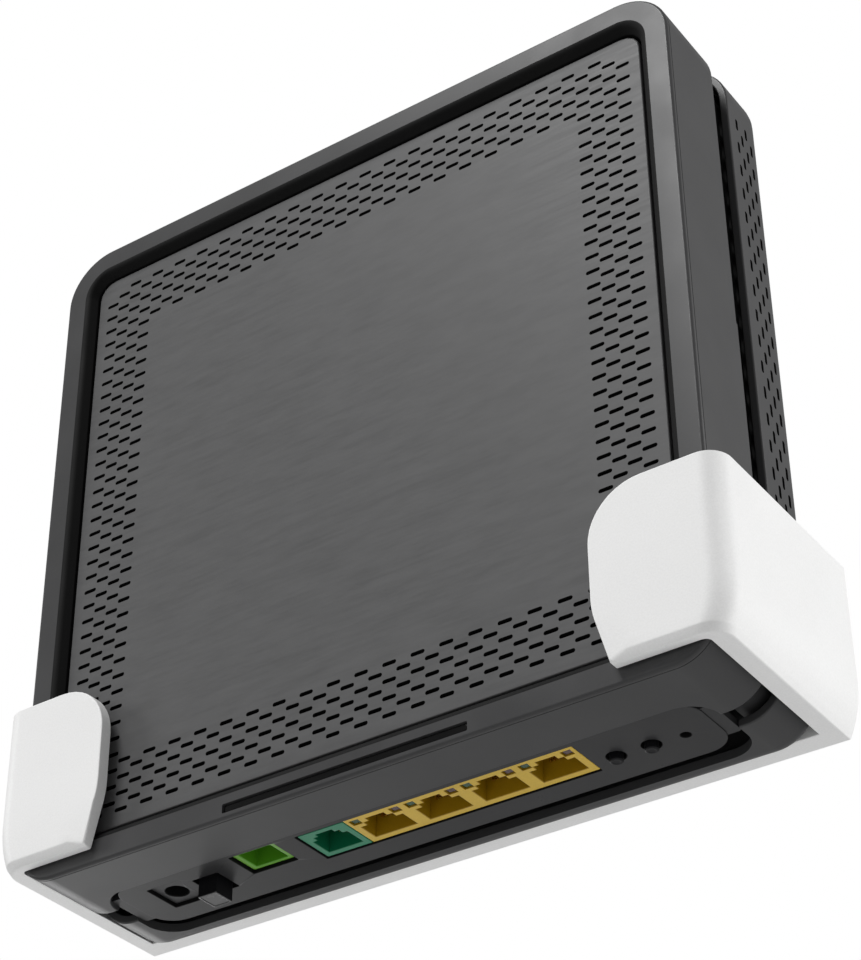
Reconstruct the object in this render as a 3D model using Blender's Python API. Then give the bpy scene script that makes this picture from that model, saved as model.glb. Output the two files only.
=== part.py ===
"""Fibre gateway router in a white wall cradle, as an assembly of separate pieces.

Frame: origin on the wall face of the cradle's back plate, at its centre.
X runs to the right, Y into the wall, Z up. Lengths below are in metres.
"""
import math

import bmesh
import bpy
from mathutils import Vector

for old in list(bpy.data.objects):
    bpy.data.objects.remove(old, do_unlink=True)

MM = 0.001
GAP = 0.3 * MM              # between pieces that touch

# Wall cradle
CRADLE_HALF = 99.5 * MM     # half width at the bottom rim
CRADLE_BULGE = 3.4 * MM     # side walls swell outwards above the rim
CRADLE_SWELL = 13.9 * MM    # height of the swelling curve
CRADLE_HEIGHT = 44.5 * MM
CRADLE_DEPTH = 59.7 * MM
BACK_PLATE = 6.2 * MM
FLAP_THICK = 3.5 * MM
FLAP_EDGE = 69.25 * MM      # inner edge of each front flap
FLAP_TAPER = 3.6 * MM       # the flap narrows by this at the rim
FLAP_TOP_RADIUS = 13.9 * MM
FRONT_RADIUS = 6.0 * MM     # vertical corner between side wall and flap
RIM_ROUND = 2.6 * MM        # soft lower edge of the flap face
SCREW_X = 60.0 * MM
RIM_Z = -CRADLE_HEIGHT / 2
TOP_Z = CRADLE_HEIGHT / 2

# Router housing
HALF_W = 97.5 * MM
BOTTOM_Z = RIM_Z - 3.65 * MM
HEIGHT = 195.7 * MM
CROWN_Z = BOTTOM_Z + HEIGHT
TOP_RADIUS = 14.5 * MM
BOTTOM_RADIUS = 11.5 * MM
FRONT_Y = -55.7 * MM
PANEL_Y = -52.6 * MM        # face of the recessed front panel
FRAME_REAR_Y = -31.8 * MM
COVER_FRONT_Y = -24.5 * MM
BACK_Y = -6.6 * MM
RIM_WIDTH = 7.25 * MM
RECESS_DRAFT = 1.5 * MM     # the recess narrows by this down to the panel
PANEL_GAP = 0.35 * MM       # dark line around the panel
NECK_INSET = 4.6 * MM       # floor of the groove between frame and cover
NECK_THICK = 2.0 * MM
NECK_END_Y = -18.5 * MM
LEDGE_INSET = 12.0 * MM
LEDGE_Y = -49.8 * MM
LEDGE_THICK = 2.2 * MM
STEP_Z = 75.3 * MM          # the frame's rear edge steps forward above this
STEP_DEPTH = 1.2 * MM
COVER_INSET = 0.4 * MM
COVER_WALL = 2.2 * MM
COVER_ROUND = 5.0 * MM
CORNER_STEPS = 6

# Port bay in the underside
BAY_HALF = 84.3 * MM
BAY_FRONT_Y = -38.9 * MM
BAY_BACK_Y = -17.1 * MM
BAY_FRONT_RADIUS = 11.0 * MM
BAY_BACK_RADIUS = 7.0 * MM
PORT_Z = BOTTOM_Z + 0.8 * MM
PORT_PLATE = 2.2 * MM
SKIRT_HEIGHT = 6.0 * MM
SKIRT_THICK = 1.6 * MM
COVER_STRIP_Y = -13.0 * MM  # front edge of the cover behind the bay

# Printed circuit board
BOARD_Y = -24.2 * MM        # face that carries the parts
BOARD_THICK = 1.6 * MM
BOARD_HALF = 78.0 * MM
BOARD_LOW = -17.5 * MM
BOARD_HIGH = 118.0 * MM
BOARD_BOSSES = ((-70, 42), (70, 8), (-70, 110), (70, 110))
CASE_INSET = 9.0 * MM       # case screws from the outline

# Ports, measured on the port plate
ETHERNET_X = 18.5 * MM
ETHERNET_PITCH = 15.5 * MM
ETHERNET_W = 62.2 * MM
JACK_FRONT_Y = -37.2 * MM
JACK_BACK_Y = -24.5 * MM
JACK_TOP_Z = -4.0 * MM
PHONE_X = -19.4 * MM
PHONE_W = 13.0 * MM
FIBER_X = -38.85 * MM
FIBER_Y = -32.9 * MM
FIBER_W = 12.7 * MM
FIBER_D = 9.4 * MM
DC_X = -67.7 * MM
DC_Y = -29.85 * MM
DC_BORE = 2.9 * MM
SWITCH_X = -56.25 * MM
SWITCH_Y = -29.1 * MM
POWER_TRAVEL = 2.8 * MM
POWER_PROUD = 4.4 * MM      # how far the power button stands out of the port plate
POWER_TOP_Z = -19.9 * MM    # top of the button's column
KEY_Y = -28.0 * MM
KEYS = (("wps", 55.8 * MM), ("wifi", 64.8 * MM))
RESET_X = 73.2 * MM
RESET_Y = -27.6 * MM
SLOT_X = (-33.6 * MM, 34.5 * MM)
SLOT_Z = (RIM_Z - 2.15 * MM, RIM_Z + 0.25 * MM)

# Finish: base colour, roughness, metallic
WHITE_PLASTIC = ((0.80, 0.80, 0.79), 0.35, 0.0)
DARK_PLASTIC = ((0.075, 0.077, 0.079), 0.32, 0.0)
PANEL_PLASTIC = ((0.120, 0.122, 0.124), 0.38, 0.0)
BLACK_PLASTIC = ((0.010, 0.010, 0.011), 0.40, 0.0)
SMOKED_LENS = ((0.018, 0.018, 0.020), 0.15, 0.0)
CLEAR_PLASTIC = ((0.75, 0.78, 0.78), 0.12, 0.0)
YELLOW_PLASTIC = ((0.72, 0.50, 0.02), 0.40, 0.0)
LIME_PLASTIC = ((0.16, 0.42, 0.05), 0.38, 0.0)
TEAL_PLASTIC = ((0.02, 0.28, 0.13), 0.38, 0.0)
BOARD_GREEN = ((0.01, 0.10, 0.035), 0.45, 0.0)
TIN = ((0.62, 0.62, 0.60), 0.35, 1.0)
STEEL = ((0.50, 0.50, 0.51), 0.30, 1.0)
GOLD = ((0.85, 0.60, 0.20), 0.25, 1.0)
ALUMINIUM = ((0.70, 0.71, 0.72), 0.40, 1.0)
CERAMIC = ((0.82, 0.80, 0.74), 0.25, 0.0)
PAD_GREY = ((0.30, 0.33, 0.42), 0.85, 0.0)
PAPER = ((0.62, 0.62, 0.60), 0.60, 0.0)


def finish(obj, look):
    """Give the piece its own Principled material."""
    colour, roughness, metallic = look
    material = bpy.data.materials.new(obj.name + "_finish")
    material.use_nodes = True
    shader = material.node_tree.nodes["Principled BSDF"]
    shader.inputs["Base Color"].default_value = (*colour, 1.0)
    shader.inputs["Roughness"].default_value = roughness
    shader.inputs["Metallic"].default_value = metallic
    obj.data.materials.append(material)
    return obj


def make_object(name, bm, origin=(0.0, 0.0, 0.0)):
    """Turn a bmesh in world coordinates into an object whose origin is given."""
    bmesh.ops.recalc_face_normals(bm, faces=bm.faces)
    bmesh.ops.translate(bm, verts=bm.verts, vec=-Vector(origin))
    mesh = bpy.data.meshes.new(name)
    bm.to_mesh(mesh)
    bm.free()
    mesh.shade_smooth()
    mesh.set_sharp_from_angle(angle=math.radians(35))
    obj = bpy.data.objects.new(name, mesh)
    obj.location = origin
    bpy.context.scene.collection.objects.link(obj)
    return obj


def loft(name, loops, closed=False, origin=(0.0, 0.0, 0.0)):
    """Skin equal loops of points; cap both ends, or join the last to the first."""
    bm = bmesh.new()
    rings = [[bm.verts.new(point) for point in loop] for loop in loops]
    pairs = list(zip(rings, rings[1:]))
    if closed:
        pairs.append((rings[-1], rings[0]))
    for low, high in pairs:
        for i, vert in enumerate(low):
            j = (i + 1) % len(low)
            bm.faces.new((vert, low[j], high[j], high[i]))
    if not closed:
        bm.faces.new(rings[0])
        bm.faces.new(rings[-1])
    return make_object(name, bm, origin)


def arc(cx, cy, radius, start, end, steps):
    """Points on a circle from start to end, in degrees."""
    angles = [math.radians(start + (end - start) * i / steps) for i in range(steps + 1)]
    return [(cx + radius * math.cos(a), cy + radius * math.sin(a)) for a in angles]


def rounded(low, high, radii, steps=CORNER_STEPS):
    """Rounded rectangle; radii start at the low-u low-v corner, counter-clockwise."""
    (u0, v0), (u1, v1) = low, high
    r = radii
    return (arc(u0 + r[0], v0 + r[0], r[0], 180, 270, steps)
            + arc(u1 - r[1], v0 + r[1], r[1], 270, 360, steps)
            + arc(u1 - r[2], v1 - r[2], r[2], 0, 90, steps)
            + arc(u0 + r[3], v1 - r[3], r[3], 90, 180, steps))


def housing_loop(inset, y):
    """The housing's outline in XZ, moved inwards by inset, at depth y."""
    low_r = max(BOTTOM_RADIUS - inset, 0.9 * MM)
    top_r = max(TOP_RADIUS - inset, 0.9 * MM)
    points = rounded((-HALF_W + inset, BOTTOM_Z + inset), (HALF_W - inset, CROWN_Z - inset),
                     (low_r, low_r, top_r, top_r))
    return [(x, y, z) for x, z in points]


def box(name, x, y, z):
    """Block between pairs of limits."""
    return loft(name, [[(x[0], y[0], h), (x[1], y[0], h), (x[1], y[1], h), (x[0], y[1], h)] for h in z])


def prism(name, outline, low, high, axis="Z", origin=(0.0, 0.0, 0.0)):
    """Extrude an outline: in XY along Z, or in XZ along Y."""
    loops = [[(u, v, t) if axis == "Z" else (u, t, v) for u, v in outline] for t in (low, high)]
    return loft(name, loops, origin=origin)


def turned(name, centre, profile, axis="Z", sides=16, origin=(0.0, 0.0, 0.0)):
    """Solid of revolution: profile is (radius, distance along the axis) pairs."""
    loops = []
    for radius, t in profile:
        ring = arc(centre[0], centre[1], radius, 0, 360 - 360 / sides, sides - 1)
        loops.append([(u, v, t) if axis == "Z" else (u, t, v) for u, v in ring])
    return loft(name, loops, origin=origin)


def as_tool(obj):
    """Mark a cutting or joining shape as a guide."""
    obj.hide_render = True
    obj.display_type = "WIRE"
    return obj


def combine(obj, tool, operation):
    """Add an exact Boolean with a guide shape."""
    modifier = obj.modifiers.new(tool.name, "BOOLEAN")
    modifier.operation = operation
    modifier.solver = "EXACT"
    modifier.object = as_tool(tool)


def cut(obj, tool):
    combine(obj, tool, "DIFFERENCE")


def weld(obj, tool):
    combine(obj, tool, "UNION")


def span(centre, width):
    return (centre - width / 2, centre + width / 2)


# ---------------------------------------------------------------- wall cradle
def cradle_section(z):
    """Plan outline of the cradle at one height."""
    above = z - RIM_Z
    swell_r = (CRADLE_SWELL ** 2 + CRADLE_BULGE ** 2) / (2 * CRADLE_BULGE)
    below_swell = max(CRADLE_SWELL - above, 0.0)
    outer = CRADLE_HALF + CRADLE_BULGE - (swell_r - math.sqrt(swell_r ** 2 - below_swell ** 2))
    seat_r = BOTTOM_RADIUS + GAP
    seat_z = BOTTOM_Z + BOTTOM_RADIUS
    drop = max(seat_z - z, 0.0)
    inner = HALF_W - BOTTOM_RADIUS + math.sqrt(seat_r ** 2 - drop ** 2)
    low = max(RIM_ROUND - above, 0.0)
    front = -CRADLE_DEPTH + RIM_ROUND - math.sqrt(RIM_ROUND ** 2 - low ** 2)
    rise = max(z - (TOP_Z - FLAP_TOP_RADIUS), 0.0)
    edge = FLAP_EDGE + FLAP_TOP_RADIUS - math.sqrt(max(FLAP_TOP_RADIUS ** 2 - rise ** 2, 0.0))
    edge += FLAP_TAPER * below_swell / CRADLE_SWELL
    lip = -CRADLE_DEPTH + FLAP_THICK
    edge_r = 0.8 * MM
    inner_r = 1.5 * MM
    half = [(outer, 0.0)]
    half += arc(outer - FRONT_RADIUS, front + FRONT_RADIUS, FRONT_RADIUS, 0, -90, 5)
    half += arc(edge + edge_r, front + edge_r, edge_r, -90, -180, 2)
    half += [(edge, lip)]
    half += arc(inner - inner_r, lip + inner_r, inner_r, -90, 0, 3)
    half += [(inner, -BACK_PLATE)]
    return half + [(-x, y) for x, y in reversed(half)]


def wall_bracket():
    curve = [i / 4 for i in range(5)]
    heights = [RIM_Z + RIM_ROUND * (1 - math.cos(t * math.pi / 2)) for t in curve]
    heights += [RIM_Z + 5.5 * MM, RIM_Z + 7.9 * MM, RIM_Z + 10.9 * MM, RIM_Z + CRADLE_SWELL]
    rise = [math.sin(i / 7 * math.pi / 2) for i in range(8)]
    heights += [TOP_Z - FLAP_TOP_RADIUS * (1 - t) for t in rise]
    loops = [[(x, y, z) for x, y in cradle_section(z)] for z in heights]
    obj = loft("wall_bracket", loops)
    for side, x in (("left", -SCREW_X), ("right", SCREW_X)):
        profile = ((2.3 * MM, 1 * MM), (2.3 * MM, -3.8 * MM), (4.6 * MM, -6.1 * MM), (4.6 * MM, -8 * MM))
        cut(obj, turned("cradle_hole_" + side, (x, 0.0), profile, axis="Y", sides=20))
    return finish(obj, WHITE_PLASTIC)


# ------------------------------------------------------------ router housing
def bay_outline(shrink):
    """Plan outline of the port bay, moved inwards by shrink."""
    front_r = BAY_FRONT_RADIUS - shrink
    back_r = BAY_BACK_RADIUS - shrink
    return rounded((-BAY_HALF + shrink, BAY_FRONT_Y + shrink), (BAY_HALF - shrink, BAY_BACK_Y - shrink),
                   (front_r, front_r, back_r, back_r), 5)


def case_screw_places():
    x = HALF_W - CASE_INSET
    low, high = BOTTOM_Z + 17.5 * MM, CROWN_Z - CASE_INSET
    return (("lower_left", -x, low), ("lower_right", x, low),
            ("upper_left", -x, high), ("upper_right", x, high))


def housing_frame():
    neck_in = NECK_INSET + NECK_THICK
    ledge_back = LEDGE_Y + LEDGE_THICK
    recess = RIM_WIDTH + RECESS_DRAFT
    profile = ((0.7 * MM, FRONT_Y), (0.2 * MM, FRONT_Y + 0.2 * MM), (0.0, FRONT_Y + 0.7 * MM),
               (0.0, FRAME_REAR_Y), (NECK_INSET, FRAME_REAR_Y), (NECK_INSET, NECK_END_Y),
               (neck_in, NECK_END_Y), (neck_in, ledge_back), (LEDGE_INSET, ledge_back),
               (LEDGE_INSET, LEDGE_Y), (recess, LEDGE_Y), (recess, PANEL_Y), (RIM_WIDTH, FRONT_Y + 0.6 * MM),
               (RIM_WIDTH - 0.6 * MM, FRONT_Y))
    obj = loft("housing_frame", [housing_loop(inset, y) for inset, y in profile], closed=True)
    for name, x, z in case_screw_places():
        post = ((3.6 * MM, ledge_back - 1 * MM), (3.6 * MM, NECK_END_Y - 0.05 * MM))
        weld(obj, turned("frame_post_" + name, (x, z), post, axis="Y", sides=14))
        hole = ((1.7 * MM, -34 * MM), (1.7 * MM, -10 * MM))
        cut(obj, turned("frame_post_hole_" + name, (x, z), hole, axis="Y", sides=12))
    bay = rounded((-BAY_HALF, BAY_FRONT_Y), (BAY_HALF, -10 * MM), (BAY_FRONT_RADIUS,) * 2 + (1 * MM,) * 2, 5)
    cut(obj, prism("bay_opening", bay, BOTTOM_Z - 4 * MM, BOTTOM_Z + RIM_WIDTH + 0.1 * MM))
    cut(obj, box("status_slot", SLOT_X, (FRONT_Y - 2 * MM, -48.6 * MM), SLOT_Z))
    pocket_x = (SLOT_X[0] - 2 * MM, SLOT_X[1] + 2 * MM)
    cut(obj, box("status_pocket", pocket_x, (-49.0 * MM, -41.0 * MM), (RIM_Z - 2.3 * MM, -14 * MM)))
    step_y = FRAME_REAR_Y - STEP_DEPTH
    outer = [housing_loop(-2 * MM, y) for y in (step_y, FRAME_REAR_Y + 1 * MM)]
    inner = [housing_loop(NECK_INSET, y) for y in (FRAME_REAR_Y + 1 * MM, step_y)]
    step = loft("rear_edge_step", outer + inner, closed=True)
    cut(step, box("rear_edge_limit", (-0.15, 0.15), (-0.05, 0.0), (-0.1, STEP_Z)))
    cut(obj, step)
    return finish(obj, DARK_PLASTIC)


def front_panel():
    edge = RIM_WIDTH + RECESS_DRAFT + PANEL_GAP
    back = LEDGE_Y - GAP
    profile = ((edge + 0.3 * MM, PANEL_Y), (edge, PANEL_Y + 0.3 * MM), (edge, back))
    return finish(loft("front_panel", [housing_loop(inset, y) for inset, y in profile]), PANEL_PLASTIC)


def cover_pillar(obj, name, x, z, radius, front_y, bore, bore_end):
    floor = BACK_Y - COVER_WALL
    post = ((radius, front_y), (radius, floor + 1 * MM))
    weld(obj, turned("pillar_" + name, (x, z), post, axis="Y", sides=14))
    hole = ((bore, front_y - 2 * MM), (bore, bore_end))
    cut(obj, turned("pillar_bore_" + name, (x, z), hole, axis="Y", sides=12))


def rear_cover():
    inner = COVER_INSET + COVER_WALL
    floor = BACK_Y - COVER_WALL
    outside = [(COVER_INSET, COVER_FRONT_Y), (COVER_INSET, BACK_Y - COVER_ROUND)]
    for i in range(1, 5):
        turn = math.radians(90 * i / 4)
        outside.append((COVER_INSET + COVER_ROUND * (1 - math.cos(turn)),
                        BACK_Y - COVER_ROUND * (1 - math.sin(turn))))
    inside = [(inner + 3 * MM, floor), (inner, floor - 3 * MM), (inner, COVER_FRONT_Y)]
    loops = [housing_loop(inset, y) for inset, y in outside + inside]
    bm = bmesh.new()
    rings = [[bm.verts.new(point) for point in loop] for loop in loops]
    back, floor_ring = len(outside) - 1, len(outside)
    for k, ring in enumerate(rings):
        if k == back:
            continue
        following = rings[(k + 1) % len(rings)]
        for i, vert in enumerate(ring):
            j = (i + 1) % len(ring)
            bm.faces.new((vert, ring[j], following[j], following[i]))
    bm.faces.new(rings[back])
    bm.faces.new(rings[floor_ring])
    obj = make_object("rear_cover", bm)
    notch_r = BAY_BACK_RADIUS + 4 * MM
    half = BAY_HALF + 4.2 * MM
    notch = rounded((-half, -60 * MM), (half, COVER_STRIP_Y), (1 * MM, 1 * MM, notch_r, notch_r), 5)
    cut(obj, prism("bay_notch", notch, BOTTOM_Z - 5 * MM, BOTTOM_Z + 9 * MM))
    for name, x, z in case_screw_places():
        cover_pillar(obj, "case_" + name, x, z, 4.6 * MM, NECK_END_Y + 0.4 * MM, 1.7 * MM, 0.0)
        sink = ((3.3 * MM, -15.6 * MM), (3.3 * MM, 0.0))
        cut(obj, turned("pillar_sink_" + name, (x, z), sink, axis="Y", sides=16))
    for i, (x, z) in enumerate(BOARD_BOSSES):
        board_back = BOARD_Y + BOARD_THICK
        cover_pillar(obj, "board_%d" % i, x * MM, z * MM, 3.6 * MM, board_back + GAP, 1.7 * MM, -12 * MM)
    cut(obj, box("label_recess", (-31 * MM, 31 * MM), (BACK_Y - 0.5 * MM, 0.0), (59 * MM, 101 * MM)))
    return finish(obj, DARK_PLASTIC)


def rating_label():
    outline = rounded((-30.6 * MM, 59.4 * MM), (30.6 * MM, 100.6 * MM), (2 * MM,) * 4, 3)
    return finish(prism("rating_label", outline, BACK_Y - 0.35 * MM, BACK_Y - 0.1 * MM, "Y"), PAPER)


def port_panel():
    outer = bay_outline(0.4 * MM)
    obj = prism("port_panel", outer, PORT_Z, PORT_Z + SKIRT_HEIGHT)
    shrink = 0.4 * MM + SKIRT_THICK
    back_r = BAY_BACK_RADIUS - shrink
    hollow = rounded((-BAY_HALF + shrink, BAY_FRONT_Y - 1 * MM), (BAY_HALF - shrink, BAY_BACK_Y - shrink),
                     (1 * MM, 1 * MM, back_r, back_r), 5)
    cut(obj, prism("panel_hollow", hollow, PORT_Z + PORT_PLATE, 0.0))
    holes = [("ethernet", (PHONE_X - PHONE_W / 2 - GAP, ETHERNET_X + ETHERNET_W / 2 + GAP),
              (JACK_FRONT_Y - GAP, JACK_BACK_Y + GAP)),
             ("fiber", span(FIBER_X, FIBER_W + 2 * GAP), span(FIBER_Y, FIBER_D + 2 * GAP)),
             ("dc", span(DC_X, 9.2 * MM + 2 * GAP), span(DC_Y, 10.7 * MM + 2 * GAP)),
             ("switch", span(SWITCH_X, 8.3 * MM), span(SWITCH_Y, 7.7 * MM))]
    depth = (PORT_Z - 3 * MM, PORT_Z + 4 * MM)
    for name, x, y in holes:
        cut(obj, box("panel_hole_" + name, x, y, depth))
    for name, x in KEYS:
        cut(obj, turned("panel_hole_" + name, (x, KEY_Y), [(2.3 * MM, z) for z in depth], sides=16))
    cut(obj, turned("panel_hole_reset", (RESET_X, RESET_Y), [(1.2 * MM, z) for z in depth], sides=12))
    return finish(obj, DARK_PLASTIC)


# -------------------------------------------------------------- status light
def status_light():
    x = (SLOT_X[0] + GAP, SLOT_X[1] - GAP)
    z = (SLOT_Z[0] + GAP, SLOT_Z[1] - GAP)
    finish(box("status_light_bar", x, (FRONT_Y + 0.5 * MM, -49.6 * MM), z), SMOKED_LENS)
    finish(box("status_light_guide", x, (-49.2 * MM, -44.2 * MM), z), CLEAR_PLASTIC)
    board = box("status_led_board", x, (-43.0 * MM, -42.0 * MM), (z[0], -10 * MM))
    for i in range(4):
        centre = x[0] + (x[1] - x[0]) * (i + 0.5) / 4
        lamp = box("status_lamp_%d" % i, span(centre, 2.8 * MM), (-43.8 * MM, -42.5 * MM), z)
        weld(board, lamp)
    finish(board, BOARD_GREEN)


# --------------------------------------------------------------- main board
def main_board():
    outline = rounded((-BOARD_HALF, BOARD_LOW), (BOARD_HALF, BOARD_HIGH), (2 * MM,) * 4, 2)
    obj = prism("main_board", outline, BOARD_Y, BOARD_Y + BOARD_THICK, "Y")
    for i, (x, z) in enumerate(BOARD_BOSSES):
        hole = ((1.8 * MM, -30 * MM), (1.8 * MM, -20 * MM))
        cut(obj, turned("board_hole_%d" % i, (x * MM, z * MM), hole, axis="Y", sides=12))
    return finish(obj, BOARD_GREEN)


def screws():
    for i, (x, z) in enumerate(BOARD_BOSSES):
        head = BOARD_Y - GAP
        profile = ((1.0 * MM, head - 1.9 * MM), (2.7 * MM, head - 1.2 * MM), (2.8 * MM, head),
                   (1.4 * MM, head), (1.4 * MM, -15.0 * MM), (0.5 * MM, -13.8 * MM))
        screw = turned("board_screw_%d" % (i + 1), (x * MM, z * MM), profile, axis="Y", sides=14)
        finish(screw, STEEL)
    for name, x, z in case_screw_places():
        seat = -15.6 * MM + GAP
        profile = ((0.5 * MM, -31.5 * MM), (1.4 * MM, -30.2 * MM), (1.4 * MM, seat), (2.9 * MM, seat),
                   (2.9 * MM, seat + 1.4 * MM), (1.2 * MM, seat + 2.1 * MM))
        finish(turned("case_screw_" + name, (x, z), profile, axis="Y", sides=14), STEEL)


def on_board(name, x, z, width, height, depth, look):
    """Rectangular part that stands on the board."""
    back = BOARD_Y - GAP
    outline = rounded((x - width / 2, z - height / 2), (x + width / 2, z + height / 2), (0.8 * MM,) * 4, 2)
    return finish(prism(name, outline, back - depth, back, "Y"), look)


def processor():
    centre = 46 * MM
    on_board("processor_chip", 0.0, centre, 19 * MM, 19 * MM, 1.4 * MM, BLACK_PLASTIC)
    pad_y = BOARD_Y - 2.0 * MM
    outline = rounded((-9 * MM, centre - 9 * MM), (9 * MM, centre + 9 * MM), (1 * MM,) * 4, 2)
    finish(prism("thermal_pad", outline, pad_y - 0.8 * MM, pad_y, "Y"), PAD_GREY)
    base_back = pad_y - 1.1 * MM
    base_front = base_back - 2.5 * MM
    tip = base_front - 9 * MM
    fins, half, fin = 8, 21 * MM, 1.4 * MM
    outline = [(half, base_back), (-half, base_back)]
    for i in range(fins):
        left = -half + i * (2 * half - fin) / (fins - 1)
        outline += [(left, base_front), (left, tip), (left + fin, tip), (left + fin, base_front)]
    outline = [point for k, point in enumerate(outline) if k not in (2, len(outline) - 1)]
    finish(prism("heat_sink", outline, centre - half, centre + half), ALUMINIUM)


def board_parts():
    on_board("memory_chip", 40 * MM, 44 * MM, 13 * MM, 9 * MM, 1.2 * MM, BLACK_PLASTIC)
    on_board("wifi_shield_can_left", -42 * MM, 90 * MM, 36 * MM, 26 * MM, 3.2 * MM, TIN)
    on_board("wifi_shield_can_right", 42 * MM, 90 * MM, 36 * MM, 26 * MM, 3.2 * MM, TIN)
    on_board("ethernet_transformer", ETHERNET_X, 7 * MM, 44 * MM, 11 * MM, 6.5 * MM, BLACK_PLASTIC)
    on_board("optical_module", FIBER_X, 12.0 * MM, 15 * MM, 22 * MM, 9.0 * MM, TIN)
    on_board("power_inductor", -66 * MM, 10 * MM, 10 * MM, 10 * MM, 5.0 * MM, BLACK_PLASTIC)
    back = BOARD_Y - GAP
    for i, z in enumerate((24 * MM, 58 * MM)):
        profile = ((4.0 * MM, back), (4.0 * MM, back - 1.4 * MM), (3.7 * MM, back - 1.9 * MM),
                   (4.0 * MM, back - 2.4 * MM), (4.0 * MM, back - 11.4 * MM), (3.6 * MM, back - 12 * MM))
        can = turned("power_capacitor_%d" % (i + 1), (-68 * MM, z), profile, axis="Y", sides=16)
        finish(can, BLACK_PLASTIC)


# ----------------------------------------------------------------- the ports
def stepped_mouth(x, back, widths):
    """Modular socket outline: full width at the back, narrowing in steps to the front."""
    right, left = [], []
    y = back
    for width, depth in widths:
        right += [(x + width / 2, y), (x + width / 2, y - depth)]
        left += [(x - width / 2, y), (x - width / 2, y - depth)]
        y -= depth
    return right + left[::-1]


def contact_comb(name, x, y, teeth, pitch):
    """Carrier strip with spring contacts that hang down into a socket."""
    low, shoulder, high = -20.5 * MM, -12.6 * MM, -11.0 * MM
    wide = 0.5 * MM
    half = (teeth - 1) * pitch / 2 + 0.6 * MM
    outline = [(x + half, high), (x - half, high), (x - half, shoulder)]
    for i in range(teeth):
        centre = x + (i - (teeth - 1) / 2) * pitch
        left, right = span(centre, wide)
        outline += [(left, shoulder), (left, low), (right, low), (right, shoulder)]
    outline.append((x + half, shoulder))
    return finish(prism(name, outline, y - 0.6 * MM, y, "Y"), GOLD)


def ethernet_jacks():
    face = PORT_Z + 0.3 * MM
    block = box("ethernet_jack_block", span(ETHERNET_X, ETHERNET_W), (JACK_FRONT_Y, JACK_BACK_Y),
                (face, JACK_TOP_Z))
    mouth_back = JACK_BACK_Y - 1.9 * MM
    for i in range(4):
        x = ETHERNET_X + (i - 1.5) * ETHERNET_PITCH
        widths = ((11.7 * MM, 5.9 * MM), (8.0 * MM, 1.6 * MM), (5.0 * MM, 1.5 * MM))
        mouth = stepped_mouth(x, mouth_back, widths)
        cut(block, prism("mouth_%d" % i, mouth, face - 2 * MM, -10.5 * MM))
        contact_comb("ethernet_contacts_%d" % (i + 1), x, mouth_back - GAP, 8, 1.02 * MM)
        guide_y = (-35.9 * MM, -33.9 * MM)
        rod = 2.2 * MM
        bar = (JACK_TOP_Z + GAP, JACK_TOP_Z + 1.4 * MM)
        guide = box("port_light_guide_%d" % (i + 1), (x - 5.6 * MM - rod / 2, x + 5.6 * MM + rod / 2),
                    guide_y, bar)
        for side in (-1, 1):
            rod_x = span(x + side * 5.6 * MM, rod)
            weld(guide, box("rod_%d_%d" % (i, side), rod_x, guide_y, (face, bar[1])))
            shaft = box("shaft_%d_%d" % (i, side), span(x + side * 5.6 * MM, rod + 2 * GAP),
                        (guide_y[0] - GAP, guide_y[1] + GAP), (face - 1 * MM, 0.0))
            cut(block, shaft)
        finish(guide, CLEAR_PLASTIC)
    return finish(block, YELLOW_PLASTIC)


def phone_jack():
    face = PORT_Z + 0.3 * MM
    body = box("phone_jack", span(PHONE_X, PHONE_W), (JACK_FRONT_Y + 0.4 * MM, JACK_BACK_Y),
               (face, -7 * MM))
    mouth_back = JACK_BACK_Y - 1.7 * MM
    mouth = stepped_mouth(PHONE_X, mouth_back, ((9.8 * MM, 6.4 * MM), (7.2 * MM, 1.5 * MM), (4.6 * MM, 1.2 * MM)))
    cut(body, prism("phone_mouth", mouth, face - 2 * MM, -10.5 * MM))
    contact_comb("phone_contacts", PHONE_X, mouth_back - GAP, 4, 1.02 * MM)
    return finish(body, TEAL_PLASTIC)


def fiber_port():
    face = PORT_Z + 0.75 * MM
    body = box("fiber_adapter", span(FIBER_X, FIBER_W), span(FIBER_Y, FIBER_D), (face, -1.5 * MM))
    cut(body, box("fiber_mouth", span(FIBER_X, 9.4 * MM), span(FIBER_Y, 7.2 * MM), (face - 2 * MM, -12 * MM)))
    cut(body, turned("fiber_passage", (FIBER_X, FIBER_Y), ((1.9 * MM, -14 * MM), (1.9 * MM, 0.0)), sides=14))
    finish(body, LIME_PLASTIC)
    profile = ((1.0 * MM, -19.2 * MM), (1.5 * MM, -18.8 * MM), (1.5 * MM, -2.5 * MM))
    finish(turned("fiber_ferrule", (FIBER_X, FIBER_Y), profile, sides=14), CERAMIC)


def power_inlet():
    face = PORT_Z + 0.8 * MM
    body = box("dc_jack", span(DC_X, 9.2 * MM), span(DC_Y, 10.7 * MM), (face, -10 * MM))
    cut(body, turned("dc_bore", (DC_X, DC_Y), ((DC_BORE, face - 2 * MM), (DC_BORE, -14 * MM)), sides=20))
    cut(body, turned("dc_pin_seat", (DC_X, DC_Y), ((1.3 * MM, -16 * MM), (1.3 * MM, 0.0)), sides=12))
    finish(body, BLACK_PLASTIC)
    pin = ((0.6 * MM, face + 4.7 * MM), (1.0 * MM, face + 5.3 * MM), (1.0 * MM, -10.5 * MM))
    finish(turned("dc_pin", (DC_X, DC_Y), pin, sides=12), GOLD)


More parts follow.
